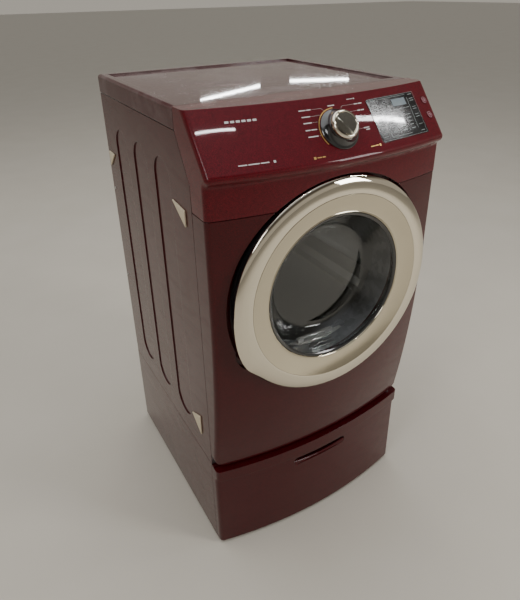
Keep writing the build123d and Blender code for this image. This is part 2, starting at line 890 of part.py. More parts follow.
with BuildPart() as rear_bulkhead:
    block_between(
        (-bulkhead_half, rear_bulkhead_y, bulkhead_bottom_z),
        (bulkhead_half, rear_bulkhead_y + sheet, bulkhead_top_z),
    )
    add(
        tube_along_y(duct_x, duct_z, duct_radius + 3, rear_bulkhead_y - 1, rear_bulkhead_y + 5),
        mode=Mode.SUBTRACT,
    )
    block_between(
        (236, rear_bulkhead_y - 1, bulkhead_bottom_z - 1),
        (bulkhead_half + 1, rear_bulkhead_y + 5, 520),
        mode=Mode.SUBTRACT,
    )
    block_between(
        (heater_left - gap, rear_bulkhead_y - 1, heater_low - gap),
        (heater_right + gap, rear_bulkhead_y + 5, heater_high + gap),
        mode=Mode.SUBTRACT,
    )
    with BuildSketch(Plane.XZ.offset(-rear_bulkhead_y - 5)):
        with Locations((vent_x, door_z + vent_rise)):
            with GridLocations(vent_pitch, vent_pitch, 7, 7):
                Circle(vent_radius)
    extrude(amount=10, mode=Mode.SUBTRACT)
save(rear_bulkhead, "rear_bulkhead")

with BuildPart() as drum_felt_seals:
    felt_outer = drum_radius - drum_sheet - 2
    front_felt_rear = bulkhead_y + sheet + drum_front_gap - gap
    add(tube_along_y(0, door_z, felt_outer, bulkhead_y + sheet, front_felt_rear, felt_outer - felt_width))
    rear_felt_front = drum_rear_y + gap
    add(tube_along_y(0, door_z, felt_outer, rear_felt_front, rear_bulkhead_y, felt_outer - felt_width))
save(drum_felt_seals, "drum_felt_seals")

with BuildPart() as drum_shell:
    add(
        tube_along_y(0, door_z, drum_radius, drum_front_y, drum_rear_y, drum_radius - drum_sheet)
    )
    rim_inner = drum_radius - rim_fold
    add(
        tube_along_y(0, door_z, drum_radius, drum_front_y, drum_front_y + drum_sheet, rim_inner)
    )
    add(
        tube_along_y(0, door_z, drum_radius, drum_rear_y - drum_sheet, drum_rear_y, rim_inner)
    )
save(drum_shell, "drum_shell")



def baffle_sketch(wall):
    """Cross-sections of the three lifting baffles, drawn in by a wall thickness."""
    foot = baffle_foot - wall
    crest = baffle_crest - wall / 2
    low = wall
    high = baffle_height - wall
    with BuildSketch() as sections:
        with Locations((0, door_z)):
            with PolarLocations(drum_radius - drum_sheet - 11, 3, start_angle=90):
                Polygon((-low, foot), (-high, crest), (-high, -crest), (-low, -foot), align=None)
    return sections.sketch


with BuildPart() as drum_baffles:
    baffle_length = drum_rear_y - drum_front_y - 2 * baffle_inset
    with BuildSketch(Plane.XZ.offset(baffle_inset - drum_rear_y)):
        add(baffle_sketch(0))
    extrude(amount=baffle_length)
    with BuildSketch(Plane.XZ.offset(baffle_inset - drum_rear_y + baffle_wall)):
        add(baffle_sketch(baffle_wall))
    extrude(amount=baffle_length - 2 * baffle_wall, mode=Mode.SUBTRACT)
save(drum_baffles, "drum_baffles")

roller_spots = {
    "front_left_roller": (-roller_x, front_roller_y),
    "front_right_roller": (roller_x, front_roller_y),
    "rear_left_roller": (-roller_x, rear_roller_y),
    "rear_right_roller": (roller_x, rear_roller_y),
}
for label, (x, y) in roller_spots.items():
    with BuildPart() as roller:
        tread = tube_along_y(
            x, roller_z, roller_radius, y - roller_width / 2, y + roller_width / 2,
            axle_radius + pin_clearance,
        )
        add(tread)
        rims = roller.edges().filter_by(GeomType.CIRCLE).filter_by(
            lambda edge: edge.radius > axle_radius + 1
        )
        fillet(rims, 2)
    save(roller, label)

with BuildPart() as roller_shafts:
    for side in (-1, 1):
        shaft_end = front_roller_y + roller_width / 2 + 4
        add(tube_along_y(side * roller_x, roller_z, axle_radius, bulkhead_y + sheet, shaft_end))
        shaft_start = rear_roller_y - roller_width / 2 - 4
        add(tube_along_y(side * roller_x, roller_z, axle_radius, shaft_start, rear_bulkhead_y))
save(roller_shafts, "roller_shafts")


# ---------------------------------------------------------------------- drive
motor_rear_y = motor_front_y + motor_length
bearing_bore = shaft_radius + pin_clearance
with BuildPart() as motor:
    add(
        tube_along_y(motor_x, motor_z, motor_radius, motor_front_y, motor_rear_y, motor_radius - 4)
    )
    for y in (motor_front_y, motor_rear_y - 8):
        add(tube_along_y(motor_x, motor_z, motor_radius, y, y + 8, bearing_bore))
    add(
        tube_along_y(
            motor_x, motor_z, motor_radius - 4, motor_front_y + 30, motor_rear_y - 30, shaft_radius + 24
        )
    )
    block_between(
        (motor_x - 45, motor_front_y + 10, floor_z + sheet),
        (motor_x + 45, motor_rear_y - 10, motor_z - motor_radius + 6),
    )
    block_between(
        (motor_x - 41, motor_front_y + 9, floor_z + sheet + 4),
        (motor_x + 41, motor_rear_y - 9, motor_z - motor_radius - 4),
        mode=Mode.SUBTRACT,
    )
save(motor, "motor")

with BuildPart() as motor_shaft:
    shaft_rear_y = belt_y + belt_width / 2 + 4
    add(tube_along_y(motor_x, motor_z, shaft_radius, blower_front_y + 12, shaft_rear_y))
    rotor_front, rotor_rear = motor_front_y + 32, motor_rear_y - 32
    add(tube_along_y(motor_x, motor_z, shaft_radius + 23, rotor_front, rotor_rear))
    pulley_front, pulley_rear = belt_y - belt_width / 2 - 1, belt_y + belt_width / 2 + 1
    add(tube_along_y(motor_x, motor_z, pulley_radius, pulley_front, pulley_rear))
    for y in (pulley_front - 2, pulley_rear):
        add(tube_along_y(motor_x, motor_z, pulley_radius + 3, y, y + 2))
save(motor_shaft, "motor_shaft")

with BuildPart() as idler_pulley:
    add(
        tube_along_y(
            idler_x, idler_z, idler_radius, pulley_front, pulley_rear, axle_radius + pin_clearance
        )
    )
save(idler_pulley, "idler_pulley")

with BuildPart() as idler_arm:
    arm_front = idler_rear_y
    add(tube_along_y(idler_x, idler_z, axle_radius, pulley_front - 2, arm_front + 4))
    with BuildSketch(Plane.XZ.offset(-arm_front - 4)):
        with Locations((idler_x, idler_z), (pivot_x, pivot_z)):
            Circle(13)
        make_hull()
        with Locations((pivot_x, pivot_z)):
            Circle(5 + pin_clearance, mode=Mode.SUBTRACT)
    extrude(amount=4)
save(idler_arm, "idler_arm")


def belt_loop(grow):
    """Belt path round the drum, the motor pulley and the idler, grown outwards."""
    with BuildSketch() as loop:
        with Locations((0, door_z)):
            Circle(drum_radius + grow)
        with Locations((motor_x, motor_z)):
            Circle(pulley_radius + grow)
        with Locations((idler_x, idler_z)):
            Circle(idler_radius + grow)
        make_hull()
    return loop.sketch


with BuildPart() as drive_belt:
    with BuildSketch(Plane.XZ.offset(-belt_y - belt_width / 2)):
        add(belt_loop(belt_gap + belt_thickness))
        add(belt_loop(belt_gap), mode=Mode.SUBTRACT)
    extrude(amount=belt_width)
save(drive_belt, "drive_belt")


# ------------------------------------------------------------------- air path
channel_left = duct_x - duct_radius - 6
channel_low = duct_z - duct_radius - 2
channel_high = duct_z + duct_radius + 2


def blower_case(inset):
    """Round blower chamber joined to the channel that leads to the exhaust duct."""
    with BuildPart() as case:
        with BuildSketch(Plane.XZ.offset(-(blower_rear_y - inset))):
            with Locations((motor_x, motor_z)):
                Circle(blower_radius - inset)
            with BuildLine():
                Polyline(
                    (channel_left + inset, channel_low + inset),
                    (motor_x, motor_z - blower_radius + inset),
                    (motor_x, motor_z + blower_radius / 2 - inset),
                    (channel_left + inset, channel_high - inset),
                    close=True,
                )
            make_face()
        extrude(amount=blower_depth - 2 * inset)
    return case.part


with BuildPart() as blower_housing:
    add(blower_case(0))
    add(blower_case(case_wall), mode=Mode.SUBTRACT)
    add(
        tube_along_y(motor_x, motor_z, inlet_radius, blower_front_y - 1, blower_front_y + 5),
        mode=Mode.SUBTRACT,
    )
    add(
        tube_along_y(motor_x, motor_z, shaft_radius + 4, blower_rear_y - 5, blower_rear_y + 1),
        mode=Mode.SUBTRACT,
    )
    add(
        tube_along_y(duct_x, duct_z, duct_radius - duct_wall, blower_rear_y - 5, blower_rear_y + 1),
        mode=Mode.SUBTRACT,
    )
save(blower_housing, "blower_housing")

with BuildPart() as blower_wheel:
    wheel_front_y = blower_front_y + 10
    wheel_rear_y = wheel_front_y + wheel_width
    wheel_bore = shaft_radius + pin_clearance
    add(tube_along_y(motor_x, motor_z, wheel_radius, wheel_rear_y - 2, wheel_rear_y, wheel_bore))
    add(tube_along_y(motor_x, motor_z, 16, wheel_front_y + 8, wheel_rear_y, wheel_bore))
    add(
        tube_along_y(motor_x, motor_z, wheel_radius, wheel_front_y, wheel_front_y + 2, wheel_radius - 12)
    )
    with BuildSketch(Plane.XZ.offset(-wheel_rear_y)):
        with Locations((motor_x, motor_z)):
            with PolarLocations(wheel_radius - 14, 24):
                Rectangle(22, 1.6, rotation=30)
    extrude(amount=wheel_width)
save(blower_wheel, "blower_wheel")

with BuildPart() as exhaust_duct:
    add(
        tube_along_y(
            duct_x, duct_z, duct_radius, blower_rear_y, rear_y + exhaust_stub, duct_radius - duct_wall
        )
    )
    flange_radius = duct_radius + flange_width
    add(tube_along_y(duct_x, duct_z, flange_radius, rear_y, rear_y + flange_thick, duct_radius - 0.1))
save(exhaust_duct, "exhaust_duct")

duct_rear_y = bulkhead_y - 1
duct_front_y = filter_front_y - 7
duct_half = filter_width / 2 + 8
duct_top_z = door_z - math.sqrt(opening_radius**2 - duct_half**2) - sheet - 6


def lint_duct_outline(inset):
    """Front view of the duct: wide under the collar, narrowing to the blower inlet."""
    with BuildSketch() as outline:
        with BuildLine():
            Polyline(
                (-duct_half + inset, duct_top_z + 60 * min(inset, 1)),
                (duct_half - inset, duct_top_z + 60 * min(inset, 1)),
                (motor_x + 58 - inset, motor_z + 60),
                (motor_x + 58 - inset, motor_z - 58 + inset),
                (motor_x - 58 + inset, motor_z - 58 + inset),
                (-duct_half + inset, motor_z + 10),
                close=True,
            )
        make_face()
    return outline.sketch


with BuildPart() as lint_duct:
    with BuildSketch(Plane.XZ.offset(-duct_rear_y)):
        add(lint_duct_outline(0))
    extrude(amount=duct_rear_y - duct_front_y)
    with BuildSketch(Plane.XZ.offset(-duct_rear_y + case_wall)):
        add(lint_duct_outline(case_wall))
    extrude(amount=duct_rear_y - duct_front_y - 2 * case_wall, mode=Mode.SUBTRACT)
    add(tube_along_y(motor_x, motor_z, suction_radius, duct_rear_y - 5, duct_rear_y + 1), mode=Mode.SUBTRACT)
    add(
        tube_along_y(0, door_z, opening_radius + sheet + gap, duct_front_y - 1, duct_rear_y + 1),
        mode=Mode.SUBTRACT,
    )
save(lint_duct, "lint_duct")

filter_top_z = door_z - opening_radius + 6
with BuildPart() as lint_filter:
    block_between(
        (-filter_width / 2, filter_front_y, filter_top_z - filter_length),
        (filter_width / 2, filter_rear_y, filter_top_z),
    )
    block_between(
        (-filter_width / 2 + filter_frame, filter_front_y + 2, filter_top_z - filter_length + filter_frame),
        (filter_width / 2 - filter_frame, filter_rear_y - 2, filter_top_z - 30),
        mode=Mode.SUBTRACT,
    )
    with BuildSketch(Plane.XZ.offset(-filter_rear_y - 1)):
        with Locations((0, filter_top_z - filter_length / 2 - 12)):
            with GridLocations(26, 26, 7, 6):
                Rectangle(20, 20)
    extrude(amount=filter_thick + 2, mode=Mode.SUBTRACT)
    block_between((-60, filter_front_y + 6, filter_top_z), (60, filter_rear_y - 6, filter_top_z + 14))
    with Locations((0, (filter_front_y + filter_rear_y) / 2, filter_top_z + 4)):
        Box(80, filter_thick + 4, 8, mode=Mode.SUBTRACT)
save(lint_filter, "lint_filter")

sensor_z = door_z - math.sqrt(opening_radius**2 - sensor_leg**2)
with BuildPart() as moisture_sensor_bars:
    for y in (recess_y + 12, recess_y + 26):
        block_between((-40, y, sensor_z + 4), (40, y + 5, sensor_z + 7))
        for x in (-sensor_leg, sensor_leg - 6):
            block_between((x, y + 0.5, sensor_z), (x + 6, y + 4.5, sensor_z + 5))
save(moisture_sensor_bars, "moisture_sensor_bars")

riser_top = door_z + 180
with BuildPart() as heater_housing:
    riser_front = rear_bulkhead_y + sheet
    riser_rear = rear_y - sheet - 3
    block_between(
        (heater_left, heater_front_y, heater_low), (heater_right, riser_front, heater_high)
    )
    block_between(
        (heater_left + 1, heater_front_y - 1, heater_low + 1),
        (heater_right - 1, riser_front + 1, heater_high - 1),
        mode=Mode.SUBTRACT,
    )
    block_between((heater_left + 5, riser_front, heater_low), (-70, riser_rear, riser_top))
    block_between(
        (heater_left + 6, riser_front + 1, heater_low + 1), (-71, riser_rear - 1, riser_top - 1),
        mode=Mode.SUBTRACT,
    )
    block_between(
        (heater_left + 8, riser_front - 1, heater_low + 4),
        (heater_right - 4, riser_front + 2, heater_high - 4),
        mode=Mode.SUBTRACT,
    )
    block_between(
        (-225, riser_front - 1, door_z + 15), (-76, riser_front + 2, door_z + 165),
        mode=Mode.SUBTRACT,
    )
    add(
        tube_along_y(duct_x, duct_z, duct_radius + 6, riser_front - 1, riser_rear + 1),
        mode=Mode.SUBTRACT,
    )
save(heater_housing, "heater_housing")

coil_x = (heater_left + heater_right) / 2
coil_z = (heater_low + heater_high) / 2
coil_front_y = heater_front_y + coil_pitch
coil_length = coil_pitch * (coil_turns - 1)
with BuildPart() as heater_coil:
    for turn in range(coil_turns):
        ring_place = Plane(origin=(coil_x, coil_front_y + coil_pitch * turn, coil_z), z_dir=(0, 1, 0))
        with Locations(ring_place):
            Torus(coil_radius, coil_wire)
    for z in (coil_z - coil_radius, coil_z + coil_radius):
        with Locations((coil_x, coil_front_y + coil_length / 2, z)):
            Box(10, coil_length + coil_pitch, 8)
save(heater_coil, "heater_coil")

with BuildPart() as steam_valve:
    block_between(
        (valve_x - valve_half, rear_y - valve_depth, valve_z - valve_half),
        (valve_x + valve_half, rear_y - sheet - gap, valve_z + valve_half),
    )
    pipe_end = rear_y + exhaust_stub - 2
    add(tube_along_y(valve_x, valve_z, inlet_pipe_radius, rear_y - 10, pipe_end, inlet_pipe_bore))
    with Locations((valve_x, rear_y - 45, valve_z + 30)):
        Cylinder(5, 24)
save(steam_valve, "steam_valve")

hose_start = (valve_x, rear_y - 45, valve_z + 42)
hose_route = [
    hose_start,
    (valve_x, rear_y - 45, valve_z + 85),
    (valve_x + 32, rear_y - 60, valve_z + 150),
    (valve_x + 38, rear_y - 60, valve_z + 230),
    (valve_x + 40, rear_y - 62, valve_z + 320),
    (valve_x + 38, rear_y - 62, valve_z + 420),
    (valve_x + 32, rear_y - 66, valve_z + 510),
    (valve_x + 6, rear_y - 60, valve_z + 590),
    (valve_x - 40, rear_y - 62, valve_z + 632),
]
nozzle_x, nozzle_y, nozzle_z = hose_route[-1]
with BuildPart() as steam_hose:
    with BuildLine() as hose_path:
        corners = [Vector(*p) for p in hose_route]
        radii = []
        for before, here, after in zip(corners, corners[1:], corners[2:]):
            half_turn = math.radians((here - before).get_angle(after - here)) / 2
            shorter = min((here - before).length, (after - here).length)
            radii.append(0.45 * shorter / math.tan(half_turn))
        FilletPolyline(*corners, radius=radii)
    with BuildSketch(Plane(origin=hose_start, z_dir=hose_path.line % 0)):
        Circle(hose_radius)
    sweep(path=hose_path.line)
save(steam_hose, "steam_hose")


# ------------------------------------------------------------------- pedestal
shell_front_y = skin_rear_y + 4
with BuildPart() as pedestal_shell:
    block_between((-half_width, shell_front_y, foot_height), (half_width, rear_y, drawer_top_z))
    block_between(
        (-inner_half, shell_front_y - 1, foot_height + sheet),
        (inner_half, rear_y - sheet, drawer_top_z + 1),
        mode=Mode.SUBTRACT,
    )
    foot_spots = [
        (sx * (half_width - foot_inset), y)
        for sx in (-1, 1)
        for y in (shell_front_y + foot_inset, rear_y - foot_inset)
    ]
    with BuildSketch(Plane.XY.offset(foot_height)):
        with Locations(*foot_spots):
            Circle(foot_boss)
    extrude(amount=12)
    with BuildSketch(Plane.XY.offset(foot_height - 1)):
        with Locations(*foot_spots):
            Circle(stud_radius + pin_clearance)
    extrude(amount=20, mode=Mode.SUBTRACT)
save(pedestal_shell, "pedestal_shell")

with BuildPart() as pedestal_deck:
    block_between((-half_width, skin_rear_y - 10, drawer_top_z), (half_width, rear_y, floor_z))
    block_between(
        (-half_width + 60, skin_rear_y + 60, drawer_top_z - 1), (half_width - 60, rear_y - 60, floor_z + 1),
        mode=Mode.SUBTRACT,
    )
save(pedestal_deck, "pedestal_deck")

for label, (x, y) in zip(
    ("front_left_foot", "rear_left_foot", "front_right_foot", "rear_right_foot"), foot_spots
):
    with BuildPart() as foot:
        with BuildSketch():
            with Locations((x, y)):
                Circle(foot_radius)
        extrude(amount=foot_height - gap)
        chamfer(foot.edges().sort_by(Axis.Z)[0], 1.5)
        with BuildSketch():
            with Locations((x, y)):
                Circle(stud_radius)
        extrude(amount=foot_height + 30)
    save(foot, label)


def drawer_outline(inset):
    """Side outline of the drawer front: a proud band over a plain bowed face."""
    back = reach(rear_y / 2)
    bottom = foot_height + seam + inset
    top = drawer_top_z - seam - inset
    face = reach(drawer_y) - inset
    band = reach(band_y) - inset
    with BuildSketch() as outline:
        with BuildLine():
            Polyline(
                (back, bottom),
                (face, bottom),
                (face, band_z + inset),
                (band, band_z + 5 + inset),
                (band, top),
                (back, top),
                close=True,
            )
        make_face()
    return outline.sketch


drawer_side = [
    (front_y - 50, 0),
    (shell_front_y - seam, 0),
    (shell_front_y - seam, pedestal_height),
    (front_y - 50, pedestal_height),
]
pull_top = band_z - pull_drop + 2
pull_low = pull_top - pull_height

with BuildPart() as drawer_front:
    add(bowed_block(drawer_outline(0)))
    add(bowed_block(drawer_outline(plastic), plastic), mode=Mode.SUBTRACT)
    with BuildPart(mode=Mode.PRIVATE) as pull_cup:
        block_between(
            (-pull_width / 2 - plastic, drawer_y - 20, pull_low - plastic),
            (pull_width / 2 + plastic, drawer_y + pull_depth + plastic, pull_top + plastic),
        )
        add(bowed_block(drawer_outline(0)), mode=Mode.INTERSECT)
    add(pull_cup.part)
    add(side_prism(drawer_side), mode=Mode.INTERSECT)
    with BuildSketch(Plane.XZ.offset(-drawer_y - pull_depth)):
        with Locations((0, (pull_top + pull_low) / 2)):
            RectangleRounded(pull_width, pull_height, pull_height / 2 - 1)
    extrude(amount=pull_depth + 60, mode=Mode.SUBTRACT)
save(drawer_front, "drawer_front")

box_half = inner_half - 44
box_front_y = shell_front_y - 14
box_low = foot_height + 30
with BuildPart() as drawer_box:
    block_between(
        (-box_half, box_front_y, box_low),
        (box_half, box_front_y + drawer_box_depth, box_low + drawer_box_height),
    )
    block_between(
        (-box_half + sheet, box_front_y + sheet, box_low + sheet),
        (box_half - sheet, box_front_y + drawer_box_depth - sheet, box_low + drawer_box_height + 1),
        mode=Mode.SUBTRACT,
    )
    for side in (-1, 1):
        bracket_x = sorted((side * (box_half - 60), side * (box_half - 100)))
        block_between(
            (bracket_x[0], drawer_y + 24, box_low + 20), (bracket_x[1], box_front_y, box_low + 60)
        )
save(drawer_box, "drawer_box")


def slide_rail(outer_x, thickness, height_share, y0, y1):
    """A pair of C-section rails, one on each side, their open side inwards."""
    rail_height = slide_height * height_share
    with BuildPart() as rails:
        for side in (-1, 1):
            x = sorted((side * outer_x, side * (outer_x - thickness)))
            block_between((x[0], y0, slide_z - rail_height / 2), (x[1], y1, slide_z + rail_height / 2))
    return rails.part


slide_y0 = shell_front_y + 12
slide_y1 = slide_y0 + slide_length
with BuildPart() as slide_outers:
    add(slide_rail(inner_half, slide_depth, 1.0, slide_y0, slide_y1))
    add(
        slide_rail(inner_half - slide_wall, slide_depth, 0.86, slide_y0 - cut, slide_y1 + cut),
        mode=Mode.SUBTRACT,
    )
save(slide_outers, "slide_outers")

with BuildPart() as slide_middles:
    middle_x = inner_half - slide_wall - 1
    add(slide_rail(middle_x, slide_depth + 4, 0.8, slide_y0, slide_y1 - 20))
    add(
        slide_rail(middle_x - 4, slide_depth + 4, 0.62, slide_y0 - cut, slide_y1),
        mode=Mode.SUBTRACT,
    )
save(slide_middles, "slide_middles")

with BuildPart() as slide_inners:
    inner_x = middle_x - 6
    add(slide_rail(inner_x, inner_x - box_half, 0.56, slide_y0, slide_y1 - 40))
    add(
        slide_rail(inner_x - slide_wall, inner_x - box_half, 0.46, slide_y0 - cut, slide_y1),
        mode=Mode.SUBTRACT,
    )
save(slide_inners, "slide_inners")
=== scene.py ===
import json
import logging
import math
from dataclasses import dataclass, field
from enum import Enum

import bpy
from mathutils import Matrix, Vector


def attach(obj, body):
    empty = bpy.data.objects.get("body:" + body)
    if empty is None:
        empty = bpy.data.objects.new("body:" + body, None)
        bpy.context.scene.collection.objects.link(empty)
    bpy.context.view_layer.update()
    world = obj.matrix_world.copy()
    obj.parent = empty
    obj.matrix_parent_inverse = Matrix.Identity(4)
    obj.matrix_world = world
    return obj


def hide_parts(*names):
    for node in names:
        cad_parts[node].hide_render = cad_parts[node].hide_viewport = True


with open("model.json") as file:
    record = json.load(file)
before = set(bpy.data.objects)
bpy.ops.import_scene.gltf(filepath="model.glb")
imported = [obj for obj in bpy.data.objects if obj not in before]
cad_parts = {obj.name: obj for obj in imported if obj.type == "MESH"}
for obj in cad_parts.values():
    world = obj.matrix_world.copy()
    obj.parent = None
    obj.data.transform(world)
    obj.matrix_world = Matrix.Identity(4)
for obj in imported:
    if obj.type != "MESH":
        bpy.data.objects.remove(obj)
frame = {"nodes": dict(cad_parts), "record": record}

log = logging.getLogger("dryer")
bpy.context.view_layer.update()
MM = 0.001

Point = tuple[float, float]
Colour = tuple[float, float, float]
Socket = bpy.types.NodeSocket


# ------------------------------------------------------------------ mesh helpers
def deselect_all() -> None:
    """Leave edit mode and clear the selection."""
    if bpy.context.object and bpy.context.object.mode != "OBJECT":
        bpy.ops.object.mode_set(mode="OBJECT")
    bpy.ops.object.select_all(action="DESELECT")


def select_only(piece: bpy.types.Object) -> None:
    """Select one object and make it active."""
    deselect_all()
    piece.select_set(True)
    bpy.context.view_layer.objects.active = piece


def settle(piece: bpy.types.Object, name: str) -> bpy.types.Object:
    """Name a piece and bake its place, turn and scale into its mesh.

    Args:
        piece: the object to finish.
        name: its name in the finished model.

    Returns:
        The same object, at the origin.
    """
    select_only(piece)
    bpy.ops.object.transform_apply(location=True, rotation=True, scale=True)
    piece.name = name
    piece.data.name = name
    return piece


def apply_modifier(piece: bpy.types.Object, kind: str, **settings: object) -> None:
    """Add a modifier with the given settings and apply it.

    Args:
        piece: the mesh object.
        kind: Blender's modifier type.
        **settings: values set on the modifier.
    """
    select_only(piece)
    modifier = piece.modifiers.new(kind.lower(), kind)
    for key, value in settings.items():
        setattr(modifier, key, value)
    bpy.ops.object.modifier_apply(modifier=modifier.name)


def smooth(piece: bpy.types.Object, degrees: float = 32.0) -> None:
    """Smooth the shading of all edges flatter than an angle."""
    select_only(piece)
    bpy.ops.object.shade_smooth_by_angle(angle=math.radians(degrees))


def recalculate(piece: bpy.types.Object) -> None:
    """Merge doubles and turn every face outwards."""
    select_only(piece)
    bpy.ops.object.mode_set(mode="EDIT")
    bpy.ops.mesh.select_all(action="SELECT")
    bpy.ops.mesh.remove_doubles(threshold=1e-6)
    bpy.ops.mesh.normals_make_consistent(inside=False)
    bpy.ops.object.mode_set(mode="OBJECT")


def join(pieces: list[bpy.types.Object], name: str) -> bpy.types.Object:
    """Join several objects into one named piece.

    Args:
        pieces: the objects, the first of which is kept.
        name: the joined piece's name.

    Returns:
        The joined object.
    """
    deselect_all()
    for piece in pieces:
        piece.select_set(True)
    bpy.context.view_layer.objects.active = pieces[0]
    bpy.ops.object.join()
    return settle(pieces[0], name)


def dress(piece: bpy.types.Object, material: bpy.types.Material) -> None:
    """Give every face of a piece one material."""
    piece.data.materials.clear()
    piece.data.materials.append(material)


def mount(piece: bpy.types.Object, material: bpy.types.Material, body: str, slot: str, *nodes: str) -> None:
    """Dress a piece, let it ride a body and hide the CAD nodes that it replaces.

    Args:
        piece: the finished piece.
        material: its finish.
        body: the body it moves with.
        slot: the record's material slot; not used.
        *nodes: CAD nodes that it replaces.
    """
    dress(piece, material)
    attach(piece, body)
    if nodes:
        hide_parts(*nodes)
    log.info("%s rides on %s", piece.name, body)


def oriented(origin: Vector, across: Vector, normal: Vector) -> Matrix:
    """Placement whose x axis runs across and whose z axis is the normal."""
    up = normal.cross(across).normalized()
    turn = Matrix((across, up, normal)).transposed().to_4x4()
    return Matrix.Translation(origin) @ turn


def spun_piece(
    name: str,
    outline: list[Point],
    place: Matrix,
    steps: int = 96,
    start: float = 0.0,
    sweep: float = 360.0,
) -> bpy.types.Object:
    """Turn a closed outline about its upright axis and put it in place.

    Args:
        name: the piece's name.
        outline: (radius, height) points in millimetres, in order round the outline.
        place: where the axis stands and points.
        steps: how many steps the turn takes.
        start: the angle at which the turn starts, in degrees.
        sweep: how far it turns, in degrees.

    Returns:
        The turned piece.
    """
    deselect_all()
    bpy.ops.mesh.primitive_circle_add(vertices=len(outline), radius=1.0)
    piece = bpy.context.object
    turn = math.radians(start)
    for vertex, (radius, height) in zip(piece.data.vertices, outline):
        vertex.co = Vector((radius * math.cos(turn), radius * math.sin(turn), height)) * MM
    bpy.ops.object.mode_set(mode="EDIT")
    bpy.ops.mesh.select_all(action="SELECT")
    bpy.ops.mesh.spin(steps=steps, angle=-math.radians(sweep), center=(0, 0, 0), axis=(0, 0, 1))
    bpy.ops.mesh.select_all(action="SELECT")
    bpy.ops.mesh.remove_doubles(threshold=1e-6)
    if sweep < 360:
        bpy.ops.mesh.fill_holes(sides=0)
    bpy.ops.object.mode_set(mode="OBJECT")
    piece.data.transform(place)
    settle(piece, name)
    recalculate(piece)
    return piece


def rounded_block(name: str, size: tuple[float, ...], place: Matrix, radius: float) -> bpy.types.Object:
    """A block with rounded edges.

    Args:
        name: the piece's name.
        size: its three sizes in millimetres.
        place: its middle and directions.
        radius: edge radius in millimetres.

    Returns:
        The block.
    """
    deselect_all()
    bpy.ops.mesh.primitive_cube_add(size=1.0)
    piece = bpy.context.object
    piece.data.transform(Matrix.Diagonal(Vector(size) * MM).to_4x4())
    bpy.ops.object.mode_set(mode="EDIT")
    bpy.ops.mesh.select_all(action="SELECT")
    bpy.ops.mesh.bevel(offset=radius * MM, segments=3)
    bpy.ops.object.mode_set(mode="OBJECT")
    piece.data.transform(place)
    settle(piece, name)
    recalculate(piece)
    return piece


def arc_through(first: Point, middle: Point, last: Point, count: int) -> list[Point]:
    """Points of a smooth curve through three points, ends included.

    Args:
        first: where it starts.
        middle: where it is halfway.
        last: where it ends.
        count: how many pieces it has.

    Returns:
        Its points.
    """
    points = []
    for step in range(count + 1):
        t = step / count
        u, v, w = 2 * (t - 0.5) * (t - 1), -4 * t * (t - 1), 2 * t * (t - 0.5)
        points.append(tuple(u * a + v * b + w * c for a, b, c in zip(first, middle, last)))
    return points


# --------------------------------------------------------------- shader helpers
class Nodes:
    """Short hand for building a node tree."""

    def __init__(self, tree: bpy.types.NodeTree) -> None:
        """Keep the tree that nodes are added to."""
        self.tree = tree

    def add(self, kind: str, **inputs: object) -> bpy.types.Node:
        """Add a node and set its attributes and input values.

        Args:
            kind: the node's type name without its ShaderNode prefix.
            **inputs: attributes of the node, or values of named inputs.

        Returns:
            The new node.
        """
        node = self.tree.nodes.new(kind if kind.startswith("NodeGroup") else "ShaderNode" + kind)
        for key, value in inputs.items():
            if hasattr(node, key):
                setattr(node, key, value)
            else:
                node.inputs[key.replace("_", " ")].default_value = value
        return node

    def link(self, source: Socket, target: Socket) -> None:
        """Join an output socket to an input socket."""
        self.tree.links.new(source, target)

    def math(self, operation: str, first: object, second: object = 0.0) -> Socket:
        """Add a Math node whose operands are sockets or numbers.

        Args:
            operation: the Math node's operation.
            first: first operand.
            second: second operand.

        Returns:
            The result socket.
        """
        node = self.add("Math", operation=operation)
        for slot, value in zip(node.inputs, (first, second)):
            if isinstance(value, Socket):
                self.link(value, slot)
            else:
                slot.default_value = value
        return node.outputs[0]

    def mix(self, factor: object, first: object, second: object) -> Socket:
        """Mix two colours, each a socket or an RGBA tuple, by a factor."""
        node = self.add("Mix", data_type="RGBA")
        for slot, value in zip((node.inputs[0], node.inputs[6], node.inputs[7]), (factor, first, second)):
            if isinstance(value, Socket):
                self.link(value, slot)
            else:
                slot.default_value = value
        return node.outputs[2]

    def coords(self, scale: tuple[float, float, float] = (1, 1, 1)) -> Socket:
        """Object coordinates through a Mapping node."""
        place = self.add("TexCoord")
        mapping = self.add("Mapping")
        mapping.inputs["Scale"].default_value = scale
        self.link(place.outputs["Object"], mapping.inputs["Vector"])
        return mapping.outputs[0]

    def noise(self, vector: Socket, scale: float, detail: float = 2.0) -> Socket:
        """Noise texture's value at a scale."""
        node = self.add("TexNoise", Scale=scale, Detail=detail)
        self.link(vector, node.inputs["Vector"])
        return node.outputs["Fac"]

    def ramp(self, value: Socket, low: float, high: float) -> Socket:
        """Clamp and stretch a value so that low becomes 0 and high becomes 1."""
        node = self.add("MapRange")
        node.inputs["From Min"].default_value = low
        node.inputs["From Max"].default_value = high
        self.link(value, node.inputs["Value"])
        return node.outputs[0]


def new_group(
    name: str, inputs: dict[str, float], outputs: tuple[str, ...]
) -> tuple[Nodes, bpy.types.Node, bpy.types.Node]:
    """Start a shader node group with float inputs and outputs.

    Args:
        name: the group's name.
        inputs: input names with their default values.
        outputs: output names.

    Returns:
        The group's node helper, its input node and its output node.
    """
    tree = bpy.data.node_groups.new(name, "ShaderNodeTree")
    for key, value in inputs.items():
        tree.interface.new_socket(key, in_out="INPUT", socket_type="NodeSocketFloat").default_value = value
    for key in outputs:
        tree.interface.new_socket(key, in_out="OUTPUT", socket_type="NodeSocketFloat")
    return Nodes(tree), tree.nodes.new("NodeGroupInput"), tree.nodes.new("NodeGroupOutput")


